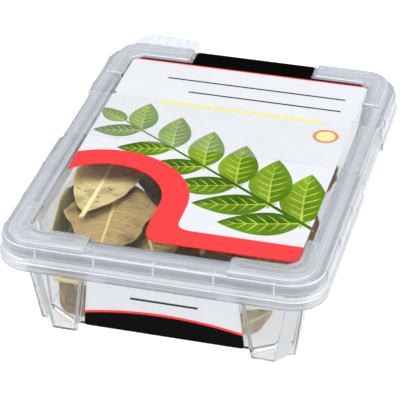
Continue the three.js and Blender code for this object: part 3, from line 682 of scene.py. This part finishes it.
labelStock = {
    "gap": 0.3, "thick": 0.35, "half": 44.2, "far": 61.4, "near": -58.6, "corner": 3.0, "notch": (33.0, 1.4),
    "bay": (22.4, 70.1), "bayCut": 0.8,
    # the window's middle, radius and flare; how its right side runs out into the near edge
    "window": (-28.5, -36.0, 20.8, 8.0), "arcEnd": -0.12, "arcSteps": 56,
    "windowFoot": {"inwards": 0.4, "rise": 1.75, "outwards": 0.1, "spread": 0.8},
    "front": {"topHalf": 24.8, "bottomHalf": 27.4, "bottom": 2.6, "top": 31.0, "clear": 0.3, "cut": 0.7},
}

# what is printed, in mm on the label; shapes that run over its edge are cut off there
artwork = {
    "right": 46, "left": -46, "far": 72, "near": -62, "nearLeft": -48,
    # red round the window: radius, height of the strip along the near edge, and the round between them
    "ring": (30.0, -49.6, 4.5, 5.5), "farLine": (59.5, 60.2),
    # plain lines and a disc stand in for all text: ink, from, to, at, weight
    "lines": (("inkGrey", -28, 38, 48.5, 0.9), ("inkGrey", -18, 38, 40.0, 0.9), ("inkYellow", -26, 34, 30.8, 2.4)),
    "discAt": (36.5, 21.5), "discs": (("inkOrange", 4.6), ("inkYellow", 3.4)), "discSteps": 35,
    "frontLines": (("inkGrey", -19, 19, 24.0, 0.9), ("inkGrey", -11, 12, 17.0, 0.9)),
    # the front label's curved foot: height, how fast it falls off, middle, and each ink's lift
    "crest": (11.6, 0.0042, 0.5), "crests": (("inkRed", 0.5), ("inkBlack", -0.5)), "crestHalf": 29,
}

# a made-up sprig with rounded leaflets in pairs along a curved stem
sprig = {
    "stem": ((47, -40), (8, -14), (-34, 14)), "steps": 24, "stemHalf": (0.8, 0.02), "joints": (2, 23, 4),
    "length": (31, 2.4), "taper": 1.1, "tip": (13, 7.5),
    # turn from the stem, share of the length, width and inks of the leaflets on either side
    "sides": ((0.82, 0.9, 14, "inkGreenMid", "inkGreenDark"), (-0.88, 1.0, 16, "inkGreenLight", "inkGreenMid")),
    "outline": 18, "early": 0.8, "full": 0.85, "bow": 0.06,
    "veinsAt": (0.12, 0.25, 0.38, 0.51, 0.64, 0.77), "veinLean": (0.09, 0.16), "veinReach": 0.39, "veinBend": 0.6,
    "veinWidth": 0.022, "ribWidth": 1.4, "ribFrom": (0.1, 1.6), "ribTo": 0.96,   # shares of width and length
}

inks = {
    "paperWhite": "#e3e5e8", "inkRed": "#ff4447", "inkBlack": "#060606", "inkGreenMid": "#5f8619",
    "inkGreenLight": "#7d9f26", "inkGreenDark": "#456b18", "inkGreenPale": "#b4c552", "inkYellow": "#f0ea9c",
    "inkOrange": "#d9892b", "inkGrey": "#3c3e42",
}


def printedInk(name, hexColour):
    # offset ink on coated paper: satin, with a trace of paper tooth (0.4 mm) and uneven ink (11 mm)
    material, add = newMaterial(name)
    spot = (add("TexCoord"), "Object")
    tooth, cloud = [add("TexNoise", links=[spot], Scale=scale, Detail=detail)
                    for scale, detail in ((2500, 2), (90, 4))]
    low, high = (0.72, 1.25) if "Green" in name else (0.97, 1.0)
    drift = add("MapRange", links=[cloud], **span(0.3, 0.7, low, high))
    tone = add("HueSaturation", links={"Value": drift}, Color=linear(hexColour))
    rough = add("MapRange", links=[tooth], **span(0, 1, 0.24, 0.34))
    bump = add("Bump", links={"Height": tooth}, Strength=0.04, Distance=0.0001)
    paper = add("BsdfPrincipled", links={"Base Color": tone, "Roughness": rough, "Normal": bump},
                IOR=1.5, Specular_IOR_Level=0.03)
    return surfaced(material, paper)


inkMaterials = {name: printedInk(name, colour) for name, colour in inks.items()}
inkOrder = list(inks)


def insidePolygon(points, polygon):
    # even and odd crossings, for all points at once
    x, y = points[:, 0], points[:, 1]
    inside = np.zeros(len(points), bool)
    for (x1, y1), (x2, y2) in zip(polygon, polygon[1:] + polygon[:1]):
        crosses = (y1 > y) != (y2 > y)
        reach = (x2 - x1) * (y - y1) / ((y2 - y1) or 1e-12) + x1
        inside ^= crosses & (x < reach)
    return inside


def inkedSheet(name, outline, layers, toSpace, thickness):
    # one flat sheet cut along every printed edge; the last layer over a spot gives its ink
    points, edges = [], []
    for polygon in [outline] + [shape for _, shape in layers]:
        start = len(points)
        points += [Vector(p) for p in polygon]
        edges += [(start + i, start + (i + 1) % len(polygon)) for i in range(len(polygon))]
    spots, _, triangles, _, _, _ = delaunay_2d_cdt(points, edges, [], 0, 1e-5)
    middle = np.array([[sum(spots[i][k] for i in t) / 3 for k in (0, 1)] for t in triangles])
    keep = insidePolygon(middle, outline)
    ink = np.zeros(len(triangles), int)
    for inkName, shape in layers:
        ink[insidePolygon(middle, shape)] = inkOrder.index(inkName)
    obj = meshObject(name, [toSpace(p.x, p.y) for p in spots], [t for t, k in zip(triangles, keep) if k])
    for polygon, index in zip(obj.data.polygons, ink[keep]):
        polygon.material_index = int(index)
    work = bmesh.new()
    work.from_mesh(obj.data)
    bmesh.ops.delete(work, geom=[v for v in work.verts if not v.link_faces], context="VERTS")
    work.to_mesh(obj.data)
    work.free()
    for inkName in inkOrder:
        obj.data.materials.append(inkMaterials[inkName])
    solid = obj.modifiers.new("thickness", "SOLIDIFY")
    solid.thickness = thickness * mm
    solid.offset = -1
    return settle(obj)


def arc(cx, cy, radius, start, end, steps):
    return [(cx + radius * math.cos(start + (end - start) * i / steps),
             cy + radius * math.sin(start + (end - start) * i / steps)) for i in range(steps + 1)]


def curve(a, b, c, steps=10):
    return [tuple(Vector(a) * (1 - t) ** 2 + Vector(b) * 2 * t * (1 - t) + Vector(c) * t * t)
            for t in (i / steps for i in range(1, steps + 1))]


def lidLabelOutline():
    g = labelStock
    half, far, near, c = g["half"], g["far"], g["near"], g["corner"]
    notchY, notch = g["notch"]
    bay, bayEnd = g["bay"]
    x, y, radius, flare = g["window"]
    foot = g["windowFoot"]
    start = math.acos((half + x) / radius)
    points = [(half - c, near)] + curve((half - c, near), (half, near), (half, near + c))
    side = [(half, notchY - notch), (half - notch, notchY), (half, notchY + notch), (half, far - c),
            (half - c, far), (bay, far), (bay, bayEnd - g["bayCut"]), (bay - g["bayCut"], bayEnd)]
    points += side + [(-px, py) for px, py in reversed(side)]
    points += arc(x, y, radius, math.pi - start, g["arcEnd"], g["arcSteps"])
    points += curve(points[-1], (x + radius - foot["inwards"], near + flare * foot["rise"]),
                    (x + radius, near + flare))
    points += curve(points[-1], (x + radius + foot["outwards"], near), (x + radius + flare * foot["spread"], near))
    return points


def ruledLine(ink, x1, x2, y, weight):
    low, high = y - weight / 2, y + weight / 2
    return ink, [(x1, low), (x2, low), (x2, high), (x1, high)]


def leaflet(x, y, angle, length, width, inkLeft="inkGreenLight", inkRight="inkGreenMid"):
    # a rounded leaflet in two halves, with a pale rib and curved pairs of side ribs
    cosA, sinA = math.cos(angle), math.sin(angle)
    put = lambda along, across: (x + along * cosA - across * sinA, y + along * sinA + across * cosA)
    bow = lambda t: width * sprig["bow"] * math.sin(math.pi * t)
    steps, w = sprig["outline"], width * sprig["veinWidth"]
    swell = [width / 2 * math.sin(math.pi * (i / steps) ** sprig["early"]) ** sprig["full"] for i in range(steps)]
    spine, upper, lower = ([put(length * i / steps, bow(i / steps) + side * out) for i, out in enumerate(swell + [0])]
                           for side in (0, 1, -1))
    layers = [(inkLeft, upper + spine[::-1][1:-1]), (inkRight, spine + lower[::-1][1:-1])]
    bend, end = sprig["veinLean"]
    for at in sprig["veinsAt"]:
        reach = sprig["veinReach"] * math.sin(math.pi * (at + 0.1) ** sprig["early"]) * width
        start = bow(at)
        for side in (-1, 1):
            middle = start + side * reach * sprig["veinBend"]
            points = [(length * at, start), (length * at + w * 2, start), (length * (at + bend) + w, middle),
                      (length * (at + end), start + side * reach), (length * (at + bend) - w, middle)]
            shape = [put(*p) for p in points]
            layers.append(("inkGreenPale", shape if side > 0 else shape[::-1]))
    ribSide = lambda side, spots: [put(length * t, bow(t) + side * w * sprig["ribWidth"] * (1 - t)) for t in spots]
    back, stout = sprig["ribFrom"]
    rib = [put(-length * back, -w * stout)] + ribSide(-1, (0.25, 0.5, 0.75)) + [put(length * sprig["ribTo"], 0)]
    rib += ribSide(1, (0.75, 0.5, 0.25)) + [put(-length * back, w * stout)]
    return layers + [("inkGreenPale", rib)]


def sprigLayers():
    steps, (half, thin) = sprig["steps"], sprig["stemHalf"]
    path = [Vector(p) for p in [sprig["stem"][0]] + curve(*sprig["stem"], steps)]
    stem = []
    for side in (1, -1):
        edge = []
        for i, p in enumerate(path):
            ahead = (path[min(i + 1, steps)] - path[max(i - 1, 0)]).normalized()
            edge.append(tuple(p + Vector((-ahead.y, ahead.x)) * side * (half - thin * i)))
        stem += edge if side > 0 else edge[::-1]
    layers = []
    for k, i in enumerate(range(*sprig["joints"])):
        ahead = (path[i + 1] - path[i - 1]).normalized()
        heading = math.atan2(ahead.y, ahead.x)
        length = sprig["length"][0] - sprig["length"][1] * k
        for turn, share, width, *pair in sprig["sides"]:
            layers += leaflet(*path[i], heading + turn, length * share, width - sprig["taper"] * k, *pair)
    layers += leaflet(*path[steps], heading, *sprig["tip"])
    return layers + [("inkGreenDark", stem)]


def makeLidLabel():
    g, art = labelStock, artwork
    top = lid["top"] - lid["panelDepth"] + g["gap"] + g["thick"]
    x, y = g["window"][:2]
    radius, strip, rise, run = art["ring"]
    ring = arc(x, y, radius, math.pi * 1.05, 0, 60) + [(x + radius, strip + rise)]
    ring += curve(ring[-1], (x + radius, strip), (x + radius + run, strip))
    ring += [(art["right"], strip), (art["right"], art["near"]), (art["nearLeft"], art["near"])]
    layers = sprigLayers() + [("inkRed", ring)]
    for ink, line in zip(("inkRed", "inkBlack"), art["farLine"]):
        layers.append((ink, [(art["left"], line), (art["right"], line), (art["right"], art["far"]),
                             (art["left"], art["far"])]))
    layers += [ruledLine(*line) for line in art["lines"]]
    steps = art["discSteps"]
    layers += [(ink, arc(*art["discAt"], size, 0, math.tau * steps / (steps + 1), steps)) for ink, size in art["discs"]]
    label = inkedSheet("lidLabel", lidLabelOutline(), layers, lambda px, py: (px, py, top), g["thick"])
    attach(label, "root")
    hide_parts("lid_label")


def makeFrontLabel():
    g = labelStock["front"]
    out, c = g["clear"] + labelStock["thick"], g["cut"]
    face = lambda x, z: (x, -(tray["half"][1] + tray["draft"][1] * z) - out, z)
    side = [(g["bottomHalf"] - c, g["bottom"]), (g["bottomHalf"], g["bottom"] + c), (g["topHalf"], g["top"] - c),
            (g["topHalf"] - c, g["top"])]
    half = [(-x, z) for x, z in reversed(side)]
    outline = half[-1:] + side + half[:-1]
    height, fall, middle = artwork["crest"]
    end = artwork["crestHalf"]
    layers = [(ink, [(x, height - fall * (x - middle) ** 2 + lift) for x in np.linspace(-end, end, 30)]
               + [(end, 0), (-end, 0)]) for ink, lift in artwork["crests"]]
    layers += [ruledLine(*line) for line in artwork["frontLines"]]
    label = inkedSheet("frontLabel", outline, layers, face, labelStock["thick"])
    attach(label, "root")
    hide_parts("front_label")


makeLidLabel()
makeFrontLabel()
print("labels cut and printed")

# seal band

band = {
    "from": 1.0, "to": 31.0, "thick": 0.3, "gap": 0.3, "tuck": 2.4, "shoulder": 1.5, "ease": 0.2,
    # height and crest of the ripples, and their beats per mm across and along; then the points that carry them
    "ripple": 0.05, "rippleTop": 0.04, "waves": (0.23, 0.31, 0.19, 1.3), "across": 30, "along": 16,
}


def makeBand():
    gap, t, s, ease = (band[k] for k in ("gap", "thick", "shoulder", "ease"))
    side = lid["half"][0] - lid["waist"][0] + gap
    over, under = lid["top"] + gap, lid["top"] - lid["skirt"] - gap
    shoulderTop = lid["top"] - lid["round"] * 0.55
    right = [(side - band["tuck"], under - t), (side + t - ease, under - t), (side + t, under - t + ease),
             (side + t, shoulderTop + gap), (side + t - s * 0.4, over - gap * 0.7 + t), (side + t - s, over + t)]
    inside = [(side - s, over), (side - s / 2, over - gap), (side, shoulderTop), (side, under),
              (side - band["tuck"], under)]
    spans = [(side - s) * (1 - 2 * i / band["across"]) for i in range(1, band["across"])]
    outline = right + [(x, over + t) for x in spans] + [(-x, z) for x, z in reversed(right)]
    outline += [(-x, z) for x, z in reversed(inside)] + [(-x, over) for x in spans] + inside
    slant, run, beat, shift = band["waves"]
    rings = []
    for k in range(band["along"] + 1):
        y = band["from"] + (band["to"] - band["from"]) * k / band["along"]
        ring = []
        for x, z in outline:
            wave = band["ripple"] * math.sin(x * slant + y * run) * math.sin(y * beat + shift) if z >= over else 0
            ring.append((x, y, z + min(wave, band["rippleTop"])))
        rings.append(ring)
    film = fixNormals(loft("sealBand", rings))
    finishHard(film, 40)
    wear(film, filmPlastic, ["seal_band"])


makeBand()
print("seal band made")

# bay leaves

leafSet = {
    "seed": 20417, "drawn": 52, "tries": 110, "thick": 0.6,
    # the blade's outline and lift, as the solids have them; farHalf shifts the notches and the wave of one half
    "full": 0.82, "stalkHalf": 0.75, "tipHalf": 0.25, "notches": 19, "notchPhase": 3, "farHalf": (2, 1.3),
    # what only the finer blades have: points along and across, uneven edges, ribs, puckers with their beats, and
    # half the blade's thickness with what it loses towards the edge
    "stations": 100, "spread": (0, 0.035, 0.075, 0.13, 0.22, 0.34, 0.48, 0.62, 0.76, 0.88, 0.96, 1.0),
    "edgeJitter": 0.022, "jitterWaves": (41, 23), "ribHeight": 0.42, "ribFade": 0.8, "ribHalf": 0.75,
    "veins": 9, "veinLean": 0.1, "veinBow": 1.3, "veinShift": 0.37, "veinHeight": 0.07, "veinHalf": 0.1,
    "pucker": 0.10, "puckers": (31, 5, 7, 9), "body": (0.24, 0.08),
    # leaves given one by one, in the order in which they were laid; what a row leaves out is as in plain
    "columns": ("tone", "length", "width", "stalk", "early", "bend", "fold", "curl", "yaw", "roll", "pitch", "ragged",
                "wave", "lopsided"),
    "hand": (
        # against the walls: behind the near left column, then along the left wall
        ("goldenLeaf", 61, 23.5, 0.03, 0.32, 0.1, 0.02, 0.04, 0, 1.3, 0.02, 0.1),
        ("greenLeaf", 68, 29.5, 0.06, 0.72, 0.02, 0, 0.01, 1.571, 1.44, 0, 0.14, 0.2),
        # on the floor under the window
        ("brownLeaf", 62, 25, 0.08, 0.8, 0.15, 0.04, 0.05, 1.5, 0.04, 0),
        ("oliveLeaf", 58, 23, 0.07, 0.75, -0.2, 0.05, 0.05, 2.85, 0.1, 0.05),
        # a broken piece behind the near right column
        ("paleLeaf", 13, 8.5, 0, 0.6, 0.2, 0.04, 0.08, 0.6, 0.9, -0.3),
        # on top under the window
        ("brownLeaf", 66, 27, 0.06, 0.7, 0.12, 0.03, 0.04, -0.1, 0, 0),
        ("oliveLeaf", 58, 26, 0.08, 0.95, 0.1, 0.04, 0.06, -1.12, 0, 0),
        ("tanLeaf", 50, 32.4, 0.07, 0.68, 0.12, 0.02, 0.03, -1.46, 0, 0.02, 0.12, 0.5, -0.02),
        ("paleLeaf", 69, 23.6, 0.06, 0.86, 0.2, 0.05, 0.08, 1.58, 0, 0, 0.03, 0.5, -0.07),
    ),
    "plain": dict(wave=0.5, waves=2, phase=0.6, sway=0, lopsided=0, ragged=0.05),
}

leafTones = {
    # dried laurel: body, blotch, edge, midrib
    "paleLeaf": ("#cbbb84", "#a99966", "#ded2a2", "#eddfa8"),
    "tanLeaf": ("#a9925f", "#8a7148", "#c6b181", "#d6c087"),
    "brownLeaf": ("#997a52", "#795d40", "#b39468", "#c6a573"),
    "oliveLeaf": ("#aea262", "#8d7f4c", "#cbc084", "#e0d38e"),
    "goldenLeaf": ("#94752c", "#5d471f", "#c4a768", "#f2dd9a"),
    "greenLeaf": ("#8c8a52", "#6e6b3d", "#a9a46a", "#c8c17e"),
}


def randomFrom(seed):
    # the same repeatable numbers as the pile was laid out with
    state = seed
    full = 0xffffffff

    def draw():
        nonlocal state
        state = (state + 0x6d2b79f5) & full
        t = ((state ^ (state >> 15)) * (1 | state)) & full
        t = ((t + (((t ^ (t >> 7)) * (61 | t)) & full)) ^ t) & full
        return ((t ^ (t >> 14)) & full) / 4294967296
    return draw


def drawLeaf(between, random):
    length = between(62, 84)
    width = length * between(0.34, 0.43)
    bend = between(0.08, 0.4) * (-1 if random() < 0.5 else 1)
    spans = (("fold", -0.05, 0.1), ("curl", -0.1, 0.14), ("wave", 0.2, 0.7), ("waves", 1.6, 3), ("phase", 0, 6.28),
             ("sway", -3, 3), ("early", 0.7, 0.98), ("lopsided", -0.08, 0.08), ("ragged", 0.02, 0.1),
             ("stalk", 0.05, 0.1))
    return dict(length=length, width=width, bend=bend, **{key: between(low, high) for key, low, high in spans})


def drawSpot(between):
    return dict(x=between(-33, 33), y=between(-48, 48), yaw=between(0, math.tau), roll=between(-0.35, 0.35),
                pitch=between(-0.2, 0.2))


def halfWidth(leaf, u, v):
    far = np.where(v > 0, 1, 0)
    share = np.clip((u - leaf["stalk"]) / (1 - leaf["stalk"]), 0, 1)
    swell = np.maximum(0, np.sin(np.pi * share ** leaf["early"])) ** leafSet["full"]
    side = 1 + leaf["lopsided"] * (2 * far - 1)
    ripple = 1 + np.sin(leafSet["notches"] * u + leafSet["notchPhase"] * leaf["phase"] + leafSet["farHalf"][0] * far)
    wide = leaf["width"] / 2 * swell * side * (1 - leaf["ragged"] * ripple / 2)
    stalk, tip = leafSet["stalkHalf"], leafSet["tipHalf"]
    return np.where(u <= leaf["stalk"], stalk, np.maximum(stalk * (1 - share) + tip, wide))


def midSurface(leaf, u, v, half=None):
    # u from stalk to tip, v from edge to edge
    half = halfWidth(leaf, u, v) if half is None else half
    turn = leaf["bend"] * (u - 0.5)
    radius = leaf["length"] / leaf["bend"]
    across = v * half
    beat = math.tau * leaf["waves"] * u + leaf["phase"] + np.where(v > 0, leafSet["farHalf"][1], 0)
    lift = leaf["fold"] * abs(across) + leaf["curl"] * across ** 2 / leaf["width"] + leaf["wave"] * v * v * np.sin(beat)
    x = radius * np.sin(turn) - lift * np.sin(turn)
    z = radius * (1 - np.cos(turn)) + lift * np.cos(turn)
    y = across + leaf["sway"] * np.sin(np.pi * u)
    return np.stack([x, y, z], axis=-1)


def turnOf(leaf):
    return np.array(Matrix.Rotation(leaf["yaw"], 3, "Z") @ Matrix.Rotation(leaf["pitch"], 3, "Y")
                    @ Matrix.Rotation(leaf["roll"], 3, "X"))


def normalsOf(leaf, u, v):
    along = midSurface(leaf, u + 1e-3, v) - midSurface(leaf, u - 1e-3, v)
    across = midSurface(leaf, u, v + 0.1) - midSurface(leaf, u, v - 0.1)
    normal = np.cross(along, across)
    return normal / np.linalg.norm(normal, axis=-1, keepdims=True)


coarseU, coarseV = np.meshgrid(np.arange(13) / 12, np.arange(5) / 2 - 1, indexing="ij")


def coarseBox(leaf, base=None):
    # box of the plain blade, turned, for finding which packed leaf it is
    mid, normal = base or (midSurface(leaf, coarseU, coarseV), normalsOf(leaf, coarseU, coarseV))
    half = leafSet["thick"] / 2
    points = np.concatenate([mid + normal * half, mid - normal * half]).reshape(-1, 3) @ turnOf(leaf).T
    return points.min(0), points.max(0)


def packedLeaves():
    # pairs each packed leaf with its drawing by the size of its box
    random = randomFrom(leafSet["seed"])
    between = lambda low, high: low + (high - low) * random()
    choices = [[{**leafSet["plain"], **dict(zip(leafSet["columns"], row))}] for row in leafSet["hand"]]
    for _ in range(leafSet["drawn"]):
        leaf = drawLeaf(between, random)
        choices.append([{**leaf, **drawSpot(between)} for _ in range(leafSet["tries"])])
    sizes = []
    for options in choices:
        base = (midSurface(options[0], coarseU, coarseV), normalsOf(options[0], coarseU, coarseV))
        sizes += [(option, *coarseBox(option, base)) for option in options]
    spans = np.array([high - low for _, low, high in sizes])
    found = {}
    for node in sorted(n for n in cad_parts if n.startswith("leaf_")):
        low, high = (np.array(c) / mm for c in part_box(node))
        miss = np.abs(spans - (high - low)).max(axis=1)
        leaf, boxLow, boxHigh = sizes[int(miss.argmin())]
        found[node] = (leaf, (low + high) / 2 - (boxLow + boxHigh) / 2, miss.min())
    return found


def leafBlade(name, leaf, middle):
    g, phase = leafSet, leaf["phase"]
    spread = np.array(g["spread"])
    u, v = np.meshgrid(np.linspace(0, 1, g["stations"] + 1), np.concatenate([-spread[::-1], spread[1:]]),
                       indexing="ij")
    quick, slow = g["jitterWaves"]
    jitter = 1 - g["edgeJitter"] * (1 + np.sin(u * quick + phase * 3 + v) * np.sin(u * slow + phase))
    half = halfWidth(leaf, u, v) * np.where(u > 0.1, jitter, 1)
    mid = midSurface(leaf, u, v, half)
    normal = normalsOf(leaf, u, v)
    across = v * half
    # midrib, stout at the stalk, and side veins that lean to the tip
    rib = g["ribHeight"] * (1 - g["ribFade"] * u) * np.exp(-(across / g["ribHalf"]) ** 2)
    beat = g["veins"] * (u - g["veinLean"] * np.abs(v) ** g["veinBow"]) + np.where(v > 0, g["veinShift"], 0)
    nearVein = np.abs(beat - np.round(beat))
    blade = np.clip((u - 0.1) * 12, 0, 1) * np.clip((1 - u) * 8, 0, 1)
    vein = g["veinHeight"] * np.exp(-(nearVein / g["veinHalf"]) ** 2) * blade * (1 - np.abs(v) ** 3)
    u1, v1, v2, u2 = g["puckers"]
    pucker = g["pucker"] * np.sin(u * u1 + v * v1 + phase) * np.sin(v * v2 + u * u2) * blade
    body = g["body"][0] - g["body"][1] * np.abs(v) ** 2
    top = mid + normal * (body + rib + vein + pucker)[..., None]
    under = mid - normal * (body + rib * 0.8 + vein - pucker)[..., None]
    turned = np.concatenate([top.reshape(-1, 3), under.reshape(-1, 3)]) @ turnOf(leaf).T + middle
    rows, columns = u.shape
    index = np.arange(rows * columns).reshape(rows, columns)
    a, b = index[:-1, :-1].ravel(), index[1:, :-1].ravel()
    c, d = index[1:, 1:].ravel(), index[:-1, 1:].ravel()
    size = rows * columns
    faces = np.concatenate([np.stack([a, b, c, d], 1), np.stack([d, c, b, a], 1) + size]).tolist()
    rim = index[:, 0].tolist() + index[-1, 1:].tolist() + index[-2::-1, -1].tolist() + index[0, -2:0:-1].tolist()
    for i, start in enumerate(rim):
        end = rim[(i + 1) % len(rim)]
        faces.append((start, start + size, end + size, end))
    obj = meshObject(name, (turned * mm).tolist(), faces, inMm=False)
    for key, values in (("along", u), ("side", v), ("acrossMm", across)):
        layer = obj.data.attributes.new(key, "FLOAT", "POINT")
        layer.data.foreach_set("value", np.tile(values.ravel(), 2).astype(np.float32))
    for polygon in obj.data.polygons:
        polygon.use_smooth = True
    return fixNormals(obj)


leafPaint = {
    # from and to in the pattern, and the tone's share at either end
    "vein": (0.015, 0.06, 1, 0), "fading": (0.5, 1, 1, 0), "rib": (0.55, 1, 1, 0), "blotch": (0.46, 0.66, 0, 1),
    "speck": (0.63, 0.7, 0, 0.65), "edge": (0.94, 1, 0, 0.6),
    "veinShare": 0.45, "speckColour": "#5f4129", "ribWidth": (-0.8, 1.1), "rough": (0.5, 0.72), "bump": 0.35,
}


def driedLeaf(name, tones):
    # dried laurel blade: matt with a faint waxy sheen, pale raised ribs, brown specks and blotches
    body, blotch, edge, rib = (linear(t) for t in tones)
    material, add = newMaterial(name)
    spot = (add("TexCoord"), "Object")
    along, side, acrossMm = [(add("Attribute", key), "Fac") for key in ("along", "side", "acrossMm")]
    # blotches some 8 mm wide, specks under a millimetre and a grain of 1 mm cells
    clouds = add("TexNoise", links=[spot], Scale=120, Detail=5, Roughness=0.6)
    specks = add("TexNoise", links=[spot], Scale=420, Detail=2)
    grain = add("TexVoronoi", links=[spot], Scale=1000)
    sideAbs, acrossAbs = [add("Math", "ABSOLUTE", [value]) for value in (side, acrossMm)]
    # side veins: nine pairs that lean to the tip and alternate from side to side
    bow = add("Math", "POWER", [sideAbs, leafSet["veinBow"]])
    lean = add("Math", "MULTIPLY_ADD", [bow, -leafSet["veinLean"], along])
    halfOf = add("Math", "GREATER_THAN", [side, 0.0])
    alternate = add("Math", "MULTIPLY", [halfOf, leafSet["veinShift"]])
    beat = add("Math", "MULTIPLY_ADD", [lean, leafSet["veins"], alternate])
    nearVein = add("Math", "PINGPONG", [beat, 0.5])
    # midrib: about 2 mm wide at the stalk, drawn out to the tip
    fall, stout = leafPaint["ribWidth"]
    ribWidth = add("Math", "MULTIPLY_ADD", [along, fall, stout])
    ribPart = add("Math", "DIVIDE", [acrossAbs, ribWidth])
    vein, fading, ribShare, blotchShare, speckShare, edgeShare = [
        add("MapRange", "SMOOTHSTEP", [value], **span(*leafPaint[key]))
        for value, key in ((nearVein, "vein"), (sideAbs, "fading"), (ribPart, "rib"), (clouds, "blotch"),
                           (specks, "speck"), (sideAbs, "edge"))]
    veins = add("Math", "MULTIPLY", [vein, fading])
    veinShare = add("Math", "MULTIPLY", [veins, leafPaint["veinShare"]])
    # each share lays its colour over what is there so far
    colour = body
    for share, layer in ((blotchShare, blotch), (speckShare, linear(leafPaint["speckColour"])), (edgeShare, edge),
                         (veinShare, rib), (ribShare, rib)):
        colour = (add("Mix", "RGBA", {0: share, 6: colour, 7: layer}), 2)
    height = add("Math", "MULTIPLY_ADD", [veins, 0.8, grain])
    bump = add("Bump", links={"Height": height}, Strength=leafPaint["bump"], Distance=0.0002)
    rough = add("MapRange", links=[clouds], **span(0, 1, *leafPaint["rough"]))
    blade = add("BsdfPrincipled", IOR=1.45, links={"Base Color": colour, "Normal": bump, "Roughness": rough})
    return surfaced(material, blade)


leafMaterials = {name: driedLeaf(name, tones) for name, tones in leafTones.items()}
leaves = packedLeaves()
for number, (node, (leaf, middle, _)) in enumerate(leaves.items()):
    blade = leafBlade("bayLeaf" + node[-2:], leaf, middle)
    tone = leaf.get("tone", list(leafTones)[number % len(leafTones)])
    wear(blade, leafMaterials[tone], [node])
print("leaves laid:", len(leaves), "worst fit in mm:", round(max(m for _, _, m in leaves.values()), 4))
